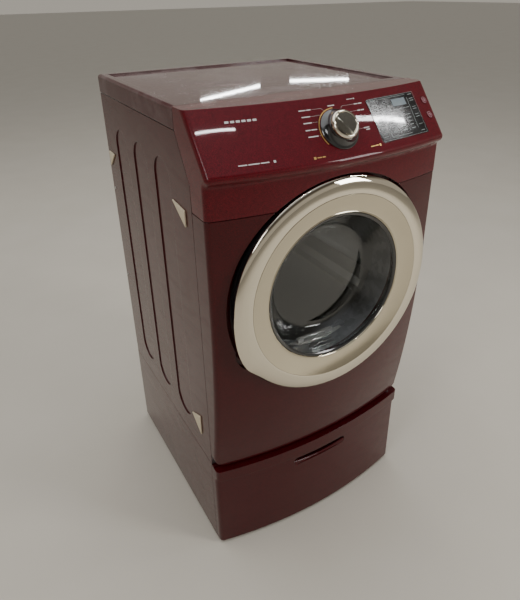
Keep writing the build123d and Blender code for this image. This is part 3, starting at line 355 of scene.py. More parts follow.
class SharedEffects:
    """Node groups that several finishes use."""

    def __init__(self) -> None:
        """Build every group once."""
        self.handling = self.build_handling()
        self.grain = self.build_grain()
        self.scuffs = self.build_scuffs()
        self.flake = self.build_flake()

    def build_handling(self) -> bpy.types.NodeTree:
        """Smears left by hands and cloths: a slow mask for roughness."""
        n, given, result = new_group("Handling smears", {"Size": 9.0, "Amount": 0.1}, ("Mask",))
        place = n.coords((1.0, 1.0, 2.4))
        texture = n.add("TexNoise", Detail=5.0, Roughness=0.62, Distortion=1.2)
        n.link(place, texture.inputs["Vector"])
        n.link(given.outputs["Size"], texture.inputs["Scale"])
        spread = n.ramp(texture.outputs["Fac"], 0.42, 0.74)
        n.link(n.math("MULTIPLY", spread, given.outputs["Amount"]), result.inputs["Mask"])
        return n.tree

    def build_grain(self) -> bpy.types.NodeTree:
        """Fine moulded grain or orange peel as a height."""
        n, given, result = new_group("Fine grain", {"Size": 500.0}, ("Height",))
        texture = n.add("TexNoise", Detail=3.0, Roughness=0.55)
        n.link(n.coords(), texture.inputs["Vector"])
        n.link(given.outputs["Size"], texture.inputs["Scale"])
        n.link(texture.outputs["Fac"], result.inputs["Height"])
        return n.tree

    def build_scuffs(self) -> bpy.types.NodeTree:
        """Thin scratches in two directions with dust between them."""
        given_sizes = {"Scratch size": 14.0, "Scratch amount": 0.5, "Dust size": 5.0}
        n, given, result = new_group("Scuffs and dust", given_sizes, ("Scratches", "Dust"))
        masks = []
        for stretch in ((1.0, 14.0, 9.0), (16.0, 1.2, 6.0)):
            texture = n.add("TexNoise", Detail=4.0, Roughness=0.7, Distortion=0.4)
            n.link(n.coords(stretch), texture.inputs["Vector"])
            n.link(given.outputs["Scratch size"], texture.inputs["Scale"])
            masks.append(n.ramp(texture.outputs["Fac"], 0.70, 0.76))
        both = n.math("MAXIMUM", masks[0], masks[1])
        n.link(n.math("MULTIPLY", both, given.outputs["Scratch amount"]), result.inputs["Scratches"])
        cloud = n.add("TexNoise", Detail=6.0, Roughness=0.65)
        n.link(n.coords(), cloud.inputs["Vector"])
        n.link(given.outputs["Dust size"], cloud.inputs["Scale"])
        n.link(n.ramp(cloud.outputs["Fac"], 0.45, 0.8), result.inputs["Dust"])
        return n.tree

    def build_flake(self) -> bpy.types.NodeTree:
        """Metal flakes in paint: a per-flake random brightness."""
        n, given, result = new_group("Metal flake", {"Size": 1400.0}, ("Brightness",))
        cells = n.add("TexVoronoi")
        n.link(n.coords(), cells.inputs["Vector"])
        n.link(given.outputs["Size"], cells.inputs["Scale"])
        split = n.add("SeparateColor")
        n.link(cells.outputs["Color"], split.inputs[0])
        n.link(split.outputs[0], result.inputs["Brightness"])
        return n.tree

    def place(self, nodes: Nodes, tree: bpy.types.NodeTree, **values: float) -> bpy.types.Node:
        """Put a group into a material with its own values.

        Args:
            nodes: the material's node helper.
            tree: the group.
            **values: input values, with underscores for spaces.

        Returns:
            The group node.
        """
        node = nodes.tree.nodes.new("ShaderNodeGroup")
        node.node_tree = tree
        for key, value in values.items():
            node.inputs[key.replace("_", " ")].default_value = value
        return node


class Material:
    """A new material with its shader and node helper."""

    def __init__(self, name: str) -> None:
        """Create the material and find its shader."""
        self.data = bpy.data.materials.new(name)
        self.data.use_nodes = True
        self.nodes = Nodes(self.data.node_tree)
        self.shader = self.data.node_tree.nodes["Principled BSDF"]

    def set(self, **values: object) -> None:
        """Set values on the shader's own sockets, with underscores for spaces."""
        for key, value in values.items():
            self.shader.inputs[key.replace("_", " ")].default_value = value

    def drive(self, key: str, source: Socket) -> None:
        """Link a socket to a shader input."""
        self.nodes.link(source, self.shader.inputs[key])

    def bump(
        self,
        height: Socket,
        strength: float,
        distance: float,
        base: Socket | None = None,
    ) -> None:
        """Feed a height through a Bump node to the shader's normal.

        Args:
            height: the height.
            strength: how strongly it shows.
            distance: its depth in metres.
            base: the normal that it starts from, where it isn't the surface's own.
        """
        node = self.nodes.add("Bump", Strength=strength, Distance=distance)
        self.nodes.link(height, node.inputs["Height"])
        if base is not None:
            self.nodes.link(base, node.inputs["Normal"])
        self.drive("Normal", node.outputs["Normal"])


@dataclass(frozen=True)
class MetallicEnamel:
    """Deep metallic colour under a clear glossy coat."""

    name: str
    deep: Colour
    bright: Colour
    coat_roughness: float = 0.035
    scratch_amount: float = 0.0
    dust_amount: float = 0.0
    base_roughness: float = 0.42
    coat_index: float = 1.32
    peel_size: float = 170.0
    edge_radius: float = 0.0018

    def build(self, effects: SharedEffects) -> bpy.types.Material:
        """Build the enamel.

        Args:
            effects: the shared node groups.

        Returns:
            The material.
        """
        paint = Material(self.name)
        n = paint.nodes
        flake = effects.place(n, effects.flake, Size=1300.0).outputs["Brightness"]
        colour = n.mix(n.ramp(flake, 0.25, 1.0), (*self.deep, 1), (*self.bright, 1))
        scuffs = effects.place(n, effects.scuffs, Scratch_amount=self.scratch_amount, Dust_size=4.0)
        smears = effects.place(n, effects.handling, Size=7.0, Amount=0.10).outputs["Mask"]
        pale = (0.42, 0.38, 0.36, 1)
        colour = n.mix(scuffs.outputs["Scratches"], colour, pale)
        dusty = n.math("MULTIPLY", scuffs.outputs["Dust"], self.dust_amount)
        colour = n.mix(dusty, colour, pale)
        paint.drive("Base Color", colour)
        rough = n.math("ADD", self.base_roughness, smears)
        rough = n.math("ADD", rough, n.math("MULTIPLY", dusty, 0.5))
        paint.drive("Roughness", rough)
        coat = n.math("SUBTRACT", 1.0, n.math("MULTIPLY", scuffs.outputs["Scratches"], 0.8))
        paint.drive("Coat Weight", n.math("SUBTRACT", coat, dusty))
        paint.set(Metallic=0.12, Specular_IOR_Level=0.1)
        paint.set(Coat_Roughness=self.coat_roughness, Coat_IOR=self.coat_index)
        peel = effects.place(n, effects.grain, Size=self.peel_size).outputs["Height"]
        rounded = n.add("Bevel", samples=4, Radius=self.edge_radius)
        paint.bump(peel, 0.04, 0.0006, rounded.outputs[0])
        n.link(rounded.outputs[0], paint.shader.inputs["Coat Normal"])
        return paint.data


@dataclass(frozen=True)
class BrightPlate:
    """Mirror plating with faint handling smears."""

    name: str
    colour: Colour
    roughness: float
    smear: float

    def build(self, effects: SharedEffects) -> bpy.types.Material:
        """Build the plating."""
        plate = Material(self.name)
        n = plate.nodes
        smears = effects.place(n, effects.handling, Size=14.0, Amount=self.smear).outputs["Mask"]
        tone = n.mix(smears, (*self.colour, 1), tuple(c * 0.82 for c in self.colour) + (1,))
        plate.drive("Base Color", tone)
        plate.drive("Roughness", n.math("ADD", self.roughness, smears))
        plate.set(Metallic=1.0)
        wave = effects.place(n, effects.grain, Size=11.0).outputs["Height"]
        plate.bump(wave, 0.08, 0.004)
        return plate.data


@dataclass(frozen=True)
class BrushedMetal:
    """Satin metal with fine lines along one direction."""

    name: str
    colour: Colour
    roughness: float
    stretch: tuple[float, float, float]
    depth: float = 0.12

    def build(self, effects: SharedEffects) -> bpy.types.Material:
        """Build the brushed metal."""
        metal = Material(self.name)
        n = metal.nodes
        lines = n.noise(n.coords(self.stretch), 60.0, 4.0)
        dark = tuple(c * 0.72 for c in self.colour)
        metal.drive("Base Color", n.mix(lines, (*dark, 1), (*self.colour, 1)))
        metal.drive("Roughness", n.math("ADD", self.roughness, n.math("MULTIPLY", lines, 0.16)))
        metal.set(Metallic=1.0)
        metal.bump(lines, self.depth, 0.0006)
        return metal.data


@dataclass(frozen=True)
class SpangledZinc:
    """Galvanised sheet with crystal spangles."""

    name: str
    colour: Colour

    def build(self, effects: SharedEffects) -> bpy.types.Material:
        """Build the zinc coat."""
        zinc = Material(self.name)
        n = zinc.nodes
        cells = effects.place(n, effects.flake, Size=70.0).outputs["Brightness"]
        grain = n.noise(n.coords(), 400.0, 3.0)
        low = tuple(c * 0.72 for c in self.colour)
        zinc.drive("Base Color", n.mix(cells, (*low, 1), (*self.colour, 1)))
        zinc.drive("Roughness", n.math("ADD", 0.30, n.math("MULTIPLY", cells, 0.18)))
        zinc.set(Metallic=0.9)
        zinc.bump(grain, 0.08, 0.0005)
        return zinc.data


@dataclass(frozen=True)
class MouldedPlastic:
    """Moulded plastic or rubber with grain, smears and a little dust."""

    name: str
    colour: Colour
    roughness: float
    grain_size: float = 700.0
    grain_depth: float = 0.15
    coat: float = 0.0
    dust: float = 0.08

    def build(self, effects: SharedEffects) -> bpy.types.Material:
        """Build the plastic."""
        plastic = Material(self.name)
        n = plastic.nodes
        scuffs = effects.place(n, effects.scuffs, Scratch_amount=0.1, Dust_size=16.0)
        dusty = n.math("MULTIPLY", scuffs.outputs["Dust"], self.dust)
        colour = n.mix(dusty, (*self.colour, 1), (0.5, 0.48, 0.45, 1))
        plastic.drive("Base Color", colour)
        smears = effects.place(n, effects.handling, Size=18.0, Amount=0.12).outputs["Mask"]
        plastic.drive("Roughness", n.math("ADD", self.roughness, smears))
        plastic.set(Coat_Weight=self.coat, Coat_Roughness=0.04)
        height = effects.place(n, effects.grain, Size=self.grain_size).outputs["Height"]
        plastic.bump(height, self.grain_depth, 0.0004)
        return plastic.data


@dataclass(frozen=True)
class ClearGlass:
    """Clear moulded window glass, very slightly grey."""

    name: str
    colour: Colour
    roughness: float

    def build(self, effects: SharedEffects) -> bpy.types.Material:
        """Build the glass."""
        glass = Material(self.name)
        n = glass.nodes
        smears = effects.place(n, effects.handling, Size=10.0, Amount=0.06).outputs["Mask"]
        glass.drive("Roughness", n.math("ADD", self.roughness, smears))
        glass.drive("Base Color", n.mix(smears, (*self.colour, 1), (0.8, 0.8, 0.78, 1)))
        glass.set(Metallic=0.0, Transmission_Weight=1.0, IOR=1.45)
        return glass.data


@dataclass(frozen=True)
class LiquidCrystal:
    """A dim liquid-crystal panel with a fine cell grid and a faint painted glow."""

    name: str
    colour: Colour

    def build(self, effects: SharedEffects) -> bpy.types.Material:
        """Build the panel."""
        panel = Material(self.name)
        n = panel.nodes
        cells = n.noise(n.coords(), 900.0, 1.0)
        dark = tuple(c * 0.7 for c in self.colour)
        tone = n.mix(cells, (*dark, 1), (*self.colour, 1))
        panel.drive("Base Color", tone)
        # Emission in the panel's own tone: a faint painted glow, not a lit display.
        panel.drive("Emission Color", tone)
        panel.drive("Roughness", n.math("ADD", 0.18, n.math("MULTIPLY", cells, 0.1)))
        panel.set(Emission_Strength=0.3, Coat_Weight=1.0)
        return panel.data


# ------------------------------------------------------------------- finishes
class Finish(Enum):
    """The finishes, by the record's material slots."""

    MERLOT_PAINT = "merlot_paint"
    MERLOT_PLASTIC = "merlot_plastic"
    CHROME = "chrome"
    SATIN_TRIM = "satin_trim"
    BLACK_GLOSS = "black_gloss"
    BLACK_PLASTIC = "black_plastic"
    WINDOW_GLASS = "window_glass"
    GALVANISED = "galvanised_steel"
    DRUM_STEEL = "drum_steel"
    WHITE_PLASTIC = "white_plastic"
    GREY_PLASTIC = "grey_plastic"
    RUBBER = "rubber"
    FELT = "felt"
    BOARD = "circuit_board"
    COPPER = "copper_wire"
    CAST = "cast_metal"


class Wardrobe:
    """Every finish of the machine, built once."""

    def __init__(self) -> None:
        """Build the shared effects and all finishes."""
        effects = SharedEffects()
        deep, bright = (0.030, 0.0012, 0.0022), (0.100, 0.0022, 0.0050)
        moulded_deep, moulded_bright = (0.050, 0.0012, 0.0040), (0.170, 0.0036, 0.0110)
        black = (0.008, 0.008, 0.009)
        steel = (0.62, 0.62, 0.61)
        recipes = {
            Finish.MERLOT_PAINT: MetallicEnamel("Merlot enamel", deep, bright, 0.03),
            Finish.MERLOT_PLASTIC: MetallicEnamel("Merlot moulding", moulded_deep, moulded_bright, 0.025),
            Finish.CHROME: BrightPlate("Bright chrome", (0.78, 0.72, 0.60), 0.025, 0.04),
            Finish.SATIN_TRIM: BrightPlate("Champagne chrome", (0.64, 0.58, 0.45), 0.09, 0.06),
            Finish.BLACK_GLOSS: MouldedPlastic("Piano black", black, 0.12, 6.0, 0.002, coat=1.0, dust=0.02),
            Finish.BLACK_PLASTIC: MouldedPlastic("Black moulding", (0.02, 0.02, 0.021), 0.5),
            Finish.WINDOW_GLASS: ClearGlass("Clear window", (0.90, 0.92, 0.91), 0.015),
            Finish.GALVANISED: SpangledZinc("Galvanised sheet", (0.60, 0.61, 0.63)),
            Finish.DRUM_STEEL: BrushedMetal("Drum steel", steel, 0.26, (1.0, 12.0, 1.0)),
            Finish.WHITE_PLASTIC: MouldedPlastic("White moulding", (0.74, 0.73, 0.70), 0.42),
            Finish.GREY_PLASTIC: MouldedPlastic("Grey moulding", (0.25, 0.26, 0.27), 0.5),
            Finish.RUBBER: MouldedPlastic("Rubber", (0.025, 0.025, 0.026), 0.7, 300.0, 0.3),
            Finish.FELT: MouldedPlastic("Pressed felt", (0.45, 0.42, 0.37), 0.95, 900.0, 0.8),
            Finish.BOARD: MouldedPlastic("Circuit board", (0.02, 0.14, 0.06), 0.35),
            Finish.COPPER: BrushedMetal("Heater wire", (0.75, 0.45, 0.26), 0.3, (1.0, 1.0, 8.0)),
            Finish.CAST: MouldedPlastic("Painted casting", (0.16, 0.16, 0.17), 0.55, 250.0, 0.35),
        }
        self.effects = effects
        self.finishes = {finish: recipe.build(effects) for finish, recipe in recipes.items()}

    def get(self, finish: Finish) -> bpy.types.Material:
        """The material of a finish."""
        return self.finishes[finish]

    def dress_frame(self) -> None:
        """Give every CAD node the finish of its record slot."""
        for entry in frame["record"]["subparts"]:
            node = frame["nodes"][entry["node"]]
            dress(node, self.get(Finish(entry["material_slot"])))
        deep, bright = (0.030, 0.002, 0.004), (0.10, 0.006, 0.011)
        worn = MetallicEnamel("Worn top enamel", deep, bright, scratch_amount=0.55, dust_amount=0.60)
        dress(frame["nodes"]["top_panel"], worn.build(self.effects))


# ------------------------------------------------------------------ the machine
@dataclass(frozen=True)
class ConsoleFace:
    """The bowed, sloping face of the console, on which the controls stand."""

    tilt: float = 38.0
    bow_axis_y: float = 1090.0
    top_reach: float = 1393.85
    top_z: float = 1335.0

    def place(self, across: float, down: float, lift: float = 0.0) -> Matrix:
        """Placement on the face, its z axis pointing out of it.

        Args:
            across: millimetres to the right of the middle.
            down: millimetres down the slope from the top edge.
            lift: millimetres out of the face.

        Returns:
            The placement.
        """
        slope = math.radians(self.tilt)
        radius = self.top_reach + down * math.sin(slope)
        turn = math.asin(across / radius)
        across_way = Vector((math.cos(turn), math.sin(turn), 0))
        outward = Vector((math.sin(turn), -math.cos(turn), 0))
        normal = outward * math.cos(slope) + Vector((0, 0, math.sin(slope)))
        axis = Vector((0, self.bow_axis_y, self.top_z - down * math.cos(slope)))
        return oriented((axis + outward * radius + normal * lift) * MM, across_way, normal)


@dataclass
class PrintedLayer:
    """Printed bars and lines in one ink, all on the console.

    Its lift is the height of the print above the face, in millimetres.
    """

    face: ConsoleFace
    name: str
    lift: float
    thick: float = 0.12
    longest_piece: float = 16.0
    overlap: float = 0.2
    marks: list[Matrix] = field(default_factory=list)

    def bar(self, across: float, down: float, width: float, height: float) -> None:
        """Add one bar by its middle, width and height."""
        stretch = Matrix.Diagonal(Vector((width, height, self.thick)) * MM).to_4x4()
        self.marks.append(self.face.place(across, down, self.lift) @ stretch)

    def line(self, start: Point, end: Point, width: float) -> None:
        """Add a line of short pieces that follow the bowed face."""
        run = Vector(end) - Vector(start)
        count = max(1, math.ceil(run.length / self.longest_piece))
        turn = Matrix.Rotation(math.atan2(-run.y, run.x), 4, "Z")
        piece = Vector((run.length / count + self.overlap, width, self.thick))
        stretch = Matrix.Diagonal(piece * MM).to_4x4()
        for step in range(count):
            spot = Vector(start) + run * ((step + 0.5) / count)
            self.marks.append(self.face.place(spot.x, spot.y, self.lift) @ turn @ stretch)

    def label(self, spot: Point, blocks: tuple[float, ...], height: float, align: float = 0.0) -> None:
        """Add a row of plain blocks that stands for a printed label.

        Args:
            spot: across and down of the row's left end, middle or right end.
            blocks: the blocks' widths.
            height: the blocks' height.
            align: 0 where the spot is the left end, 0.5 the middle, 1 the right end.
        """
        gap = height * 0.7
        total = sum(blocks) + gap * (len(blocks) - 1)
        x = spot[0] - total * align
        for width in blocks:
            self.bar(x + width / 2, spot[1], width, height)
            x += width + gap

    def build(self, body: str, slot: str, material: bpy.types.Material) -> None:
        """Model one mark, copy it to every place, join the copies and mount them."""
        deselect_all()
        bpy.ops.mesh.primitive_cube_add(size=1.0)
        pattern = bpy.context.object
        bpy.ops.object.mode_set(mode="EDIT")
        bpy.ops.mesh.select_all(action="SELECT")
        bpy.ops.mesh.bevel(offset=0.12, segments=2)
        bpy.ops.object.mode_set(mode="OBJECT")
        copies = []
        for mark in self.marks:
            twin = bpy.data.objects.new(self.name, pattern.data.copy())
            bpy.context.scene.collection.objects.link(twin)
            twin.data.transform(mark)
            copies.append(twin)
        bpy.data.objects.remove(pattern)
        mount(join(copies, self.name), material, body, slot)


@dataclass
class Console:
    """Printing, display and icons of the control console."""

    face: ConsoleFace
    wardrobe: Wardrobe
    print_lift: float = 0.04
    label_height: float = 2.5
    leader_width: float = 0.4
    window_left: float = 108.0
    window_top: float = 22.0
    window_width: float = 172.0
    window_height: float = 114.0
    window_lift: float = 1.25
    window_edge: float = 0.012
    dial_down: float = 83.0
    arc_radius: float = 54.5
    button_across: float = 314.0
    button_downs: Point = (53.0, 94.0)

    def build(self) -> None:
        """Build every printed layer, the display and the icons."""
        self.build_labels()
        self.build_gold()
        self.build_display()
        self.build_icons()

    def ink(self, name: str, colour: Colour) -> bpy.types.Material:
        """A matt printing ink."""
        return MouldedPlastic(name, colour, 0.4).build(self.wardrobe.effects)

    def build_labels(self) -> None:
        """Plain label blocks and leader lines round the dial, and two feature labels."""
        layer = PrintedLayer(self.face, "console_labels", self.print_lift)
        height = self.label_height
        left = ((27, (18, 12), -57), (43, (23,), -64), (58, (22,), -66))
        left += ((75, (13, 15), -59), (91, (27,), -61))
        for down, blocks, end in left:
            layer.label((end, down), blocks, height, 1.0)
            self.leader(layer, end + 2, down, -1)
        right = ((28, (12, 11), 66), (45, (9, 10), 70), (63, (8, 11), 69), (90, (18,), 69))
        for down, blocks, start in right:
            layer.label((start, down), blocks, height)
            self.leader(layer, start - 2, down, 1)
        layer.label((75, 95), (12,), height)
        layer.label((0, 23.5), (19,), height, 0.5)
        layer.label((50, 14), (9, 8), 1.5)
        layer.bar(72, 14, 3.4, 3.4)
        layer.label((-265, 35), (9,) * 6, 5.0)
        layer.label((-268, 134), (20, 26, 20), 2.6)
        layer.bar(-186, 134, 5.5, 5.5)
        layer.build("cabinet", "white_plastic", self.ink("White print", (0.62, 0.61, 0.60)))

    def leader(self, layer: PrintedLayer, end: float, down: float, side: int) -> None:
        """Line from a label's end towards the dial, bent in where it runs above it.

        Args:
            layer: the layer that it is printed in.
            end: where it starts beside the label.
            down: its place down the slope.
            side: -1 left of the dial, 1 right of it.
        """
        rise = self.dial_down - down
        if rise > self.arc_radius - 2:
            bend = (side * 30.0, down)
            layer.line((end, down), bend, self.leader_width)
            layer.line(bend, (side * 24.0, down + 6.0), self.leader_width)
            return
        reach = math.sqrt(self.arc_radius**2 - rise**2) + 1.5
        layer.line((end, down), (side * reach, down), self.leader_width)

    def build_gold(self) -> None:
        """Gold arc beside the dial and two gold marks."""
        gold = BrightPlate("Gold print", (0.72, 0.46, 0.16), 0.35, 0.05).build(self.wardrobe.effects)
        layer = PrintedLayer(self.face, "console_gold_marks", self.print_lift)
        layer.bar(-90, 141, 6.0, 6.0)
        layer.label((-84, 141), (12, 8), 2.4)
        layer.bar(100, 138, 6.0, 6.0)
        layer.label((70, 138), (12, 10), 2.4)
        layer.build("cabinet", "satin_trim", gold)
        inner, outer, thick = 52.2, 54.6, 0.35
        outline = [(inner, 0.0), (outer, 0.0), (outer, thick), (inner, thick)]
        place = self.face.place(0, self.dial_down, -0.1)
        arc = spun_piece("dial_gold_arc", outline, place, 48, start=88.0, sweep=128.0)
        mount(arc, gold, "cabinet", "satin_trim")

    def spot(self, u: float, v: float) -> Point:
        """Across and down of a place given as shares of the display window."""
        return self.window_left + u * self.window_width, self.window_top + v * self.window_height

    def build_display(self) -> None:
        """Outline, key labels and divider lines of the display, and its panel."""
        layer = PrintedLayer(self.face, "display_print", self.window_lift)
        columns = {
            0.11: (0.06, 0.17, 0.26, 0.42, 0.50, 0.58, 0.645, 0.73, 0.83, 0.895),
            0.905: (0.06, 0.16, 0.21, 0.36, 0.41, 0.54, 0.60, 0.78, 0.93),
        }
        for u, rows in columns.items():
            for row, v in enumerate(rows):
                layer.label(self.spot(u, v), (8, 6) if row % 2 else (15,), 1.2, 0.5)
        for row, v in enumerate((0.50, 0.58, 0.66, 0.74)):
            for u in (0.34, 0.53, 0.71):
                split = (row + round(u * 10)) % 2
                layer.label(self.spot(u, v), (7, 8) if split else (15,), 1.2, 0.5)
        for u in (0.32, 0.535, 0.72):
            layer.label(self.spot(u, 0.83), (15,), 1.9, 0.5)
        for u, v in ((0.28, 0.14), (0.35, 0.14), (0.30, 0.23), (0.37, 0.23), (0.39, 0.33)):
            layer.bar(*self.spot(u, v), 2.4, 2.8)
        for u in (0.50, 0.59, 0.68, 0.76):
            layer.label(self.spot(u, 0.34), (4, 6), 1.1, 0.5)
        dividers = (
            ((0.43, 0.80), (0.43, 0.87)),
            ((0.63, 0.80), (0.63, 0.87)),
            ((0.224, 0.34), (0.224, 0.93)),
            ((0.224, 0.93), (0.65, 0.93)),
            ((0.818, 0.12), (0.818, 0.86)),
        )
        for first, second in dividers:
            layer.line(self.spot(*first), self.spot(*second), 0.9)
        layer.line(self.spot(0.22, 0.045), self.spot(0.80, 0.045), 0.5)
        near, far = self.window_edge, 1 - self.window_edge
        corners = [(near, near), (far, near), (far, far), (near, far)]
        for first, second in zip(corners, corners[1:] + corners[:1]):
            layer.line(self.spot(*first), self.spot(*second), 0.5)
        layer.build("cabinet", "white_plastic", self.ink("Pale print", (0.30, 0.34, 0.33)))
        place = self.face.place(*self.spot(0.61, 0.185), self.window_lift)
        panel = rounded_block("display_panel", (51, 19, 0.5), place, 0.2)
        crystal = LiquidCrystal("Display panel", (0.11, 0.15, 0.17)).build(self.wardrobe.effects)
        mount(panel, crystal, "cabinet", "black_gloss")

    def build_icons(self) -> None:
        """Ring icons printed on the two buttons."""
        pink = self.ink("Button print", (0.50, 0.30, 0.34))
        for body, down in zip(("power_button", "start_button"), self.button_downs):
            place = self.face.place(self.button_across, down, 1.5)
            ring = spun_piece(f"{body}_ring", [(7.6, 0.0), (8.4, 0.0), (8.4, 0.15), (7.6, 0.15)], place, 48)
            high = place @ Matrix.Translation((0, 2 * MM, 0.1 * MM))
            stroke = rounded_block("stroke", (1.1, 5.0, 0.2), high, 0.08)
            outline = [(3.2, 0.0), (4.2, 0.0), (4.2, 0.15), (3.2, 0.15)]
            hook = spun_piece("hook", outline, place, 32, start=125.0, sweep=290.0)
            mount(join([ring, stroke, hook], f"{body}_icon"), pink, body, "white_plastic")


@dataclass
class Dial:
    """The cycle dial: flared dark skirt, bright ring and folded face."""

    face: ConsoleFace
    wardrobe: Wardrobe
    down: float = 83.0
    gap: float = 1.0
    bore: float = 6.0
    skirt_radius: float = 50.0
    skirt_height: float = 19.2
    ring_bore: float = 22.0
    ring_base: float = 18.8
    face_radius: float = 27.0
    face_height: float = 22.6
    face_thick: float = 0.8
    fold_angle: float = 122.0
    fold_depth: float = 8.0

    def build(self) -> None:
        """Build the skirt, the ring and the face."""
        place = self.face.place(0, self.down, self.gap)
        self.build_skirt(place)
        self.build_ring(place)
        self.build_face(place)

    def build_skirt(self, place: Matrix) -> None:
        """The flared skirt that stands on the console."""
        outline = [(self.bore, 0), (self.skirt_radius - 0.6, 0), (self.skirt_radius, 0.8)]
        outline += arc_through((48.6, 2.4), (41.2, 8.6), (37.0, 18.4), 10)
        outline += [(36, self.skirt_height), (self.bore, self.skirt_height)]
        skirt = spun_piece("dial_flared_skirt", outline, place)
        smooth(skirt)
        mount(skirt, self.wardrobe.get(Finish.BLACK_GLOSS), "dial", "black_gloss", "dial_skirt")

    def build_ring(self, place: Matrix) -> None:
        """The polished ring round the face."""
        outline = [(self.ring_bore, self.ring_base), (34.0, self.ring_base)]
        outline += arc_through((34.6, 20.2), (35.1, 24.5), (33.2, 28.8), 6)
        outline += arc_through((32.2, 29.7), (30.4, 30.1), (28.6, 28.9), 5)
        outline += [(26.4, 25.4), (26.0, 21.0), (self.ring_bore, 21.0)]
        ring = spun_piece("dial_bright_ring", outline, place)
        smooth(ring)
        mount(ring, self.wardrobe.get(Finish.CHROME), "dial", "chrome", "dial_cap")

    def build_face(self, place: Matrix) -> None:
        """A disc folded along a line across its middle."""
        deselect_all()
        bpy.ops.mesh.primitive_circle_add(vertices=72, radius=self.face_radius * MM, fill_type="TRIFAN")
        disc = bpy.context.object
        turn = math.radians(self.fold_angle)
        line = Vector((math.cos(turn), math.sin(turn)))
        for vertex in disc.data.vertices:
            apart = abs(vertex.co.x * line.y - vertex.co.y * line.x) / (self.face_radius * MM)
            vertex.co.z = (self.face_height + self.fold_depth * apart) * MM
        apply_modifier(disc, "SOLIDIFY", thickness=self.face_thick * MM, offset=-1.0)
        disc.data.transform(place)
        settle(disc, "dial_face")
        recalculate(disc)
        smooth(disc, 12.0)
        satin = BrushedMetal("Turned face", (0.58, 0.57, 0.50), 0.10, (2.0, 2.0, 30.0), depth=0.03)
        mount(disc, satin.build(self.wardrobe.effects), "dial", "chrome")


@dataclass
class Door:
    """Chrome porthole ring, dish, window seal and ribbed bowl.

    Depths are distances in front of the machine's middle, along the door's axis.
    """

    wardrobe: Wardrobe
    centre_z: float = 863.0
    ring_radius: float = 301.0
    ring_back: float = 376.2
    ring_front: float = 389.4
    ridge_radius: float = 257.0
    window_radius: float = 204.0
    lobe_angle: float = -152.0
    lobe_reach: float = 11.0
    lobe_root: float = 262.0
    lobe_above: float = 8.0
    lobe_below: float = 20.0
    seal_back: float = 371.6
    bowl_rim: float = 198.0
    bowl_rim_depth: float = 366.0
    bowl_taper: float = 46.0
    bowl_fall: float = 58.0
    bowl_wall: float = 2.6
    bowl_bands: int = 6
    band_height: float = 0.55

    def build(self) -> None:
        """Build the door's shown pieces."""
        place = oriented(Vector((0, 0, self.centre_z * MM)), Vector((1, 0, 0)), Vector((0, -1, 0)))
        self.build_ring(place)
        self.build_dish(place)
        self.build_seal(place)
        self.build_bowl(place)

    def build_ring(self, place: Matrix) -> None:
        """The convex outer ring, pulled out into a grip at the lower left."""
        rim, ridge = self.ring_radius, self.ridge_radius
        outline = [(rim, self.ring_back), (rim, self.ring_back + 2.4)]
        outline += arc_through((rim - 0.4, 379.6), (285.5, 387.6), (ridge + 1.4, self.ring_front), 14)
        outline += [(ridge, self.ring_front - 0.6), (ridge, self.ring_back)]
        ring = spun_piece("door_bright_ring", outline, Matrix.Identity(4), 180)
        for vertex in ring.data.vertices:
            radius = vertex.co.xy.length / MM
            angle = math.degrees(math.atan2(vertex.co.y, vertex.co.x))
            spread = self.lobe_above if angle > self.lobe_angle else self.lobe_below
            pull = self.lobe_reach * math.exp(-(((angle - self.lobe_angle) / spread) ** 2))
            share = max(0.0, (radius - self.lobe_root) / (rim - self.lobe_root))
            vertex.co.xy *= 1 + pull * share / radius
        ring.data.transform(place)
        smooth(ring, 40.0)
        mount(ring, self.wardrobe.get(Finish.CHROME), "door", "chrome", "door_chrome_ring")

    def build_dish(self, place: Matrix) -> None:
        """The dish that falls from the ridge to the window."""
        ridge = self.ridge_radius - 0.4
        outline = [(ridge, self.ring_back - 3.2), (ridge, self.ring_front - 0.5)]
        outline += arc_through((ridge - 0.6, 389.3), (231.0, 381.2), (self.window_radius + 7.0, 376.4), 14)
        outline += [(209.5, 376.3), (208.4, 377.2), (206.6, 377.3)]
        outline += [(205.2, 376.2), (204.4, 374.0), (204.4, 372.8)]
        dish = spun_piece("door_dish", outline, place, 160)
        smooth(dish, 40.0)
        mount(dish, self.wardrobe.get(Finish.SATIN_TRIM), "door", "satin_trim", "door_inner_ring")

    def build_seal(self, place: Matrix) -> None:
        """Thin dark seal between the dish and the window."""
        outline = [(196.0, self.seal_back), (204.2, self.seal_back), (204.2, self.seal_back + 3.0)]
        outline += [(203.4, 375.4), (200.8, 374.8), (197.0, 372.8)]
        seal = spun_piece("door_window_seal", outline, place, 160)
        smooth(seal)
        mount(seal, self.wardrobe.get(Finish.BLACK_GLOSS), "door", "black_gloss")

    def build_bowl(self, place: Matrix) -> None:
        """Clear bowl with rings moulded into its slope."""
        steps = 60
        front = [(203.0, 371.4)]
        rear = [(203.6, 371.4)]
        for step in range(steps + 1):
            t = step / steps
            wave = self.band_height * math.sin(t * self.bowl_bands * 2 * math.pi) * math.sin(t * math.pi)
            radius = self.bowl_rim - self.bowl_taper * t + wave
            depth = self.bowl_rim_depth - self.bowl_fall * t + wave
            front.append((radius, depth))
            rear.append((radius + self.bowl_wall, depth - self.bowl_wall))
        front += arc_through((146.0, 305.2), (74.0, 308.6), (0.0, 309.8), 12)
        rear += arc_through((147.0, 302.2), (74.0, 305.4), (0.0, 306.4), 12)
        bowl = spun_piece("door_bowl", front + rear[::-1], place, 120)
        smooth(bowl, 60.0)
        mount(bowl, self.wardrobe.get(Finish.WINDOW_GLASS), "door", "window_glass", "door_glass")


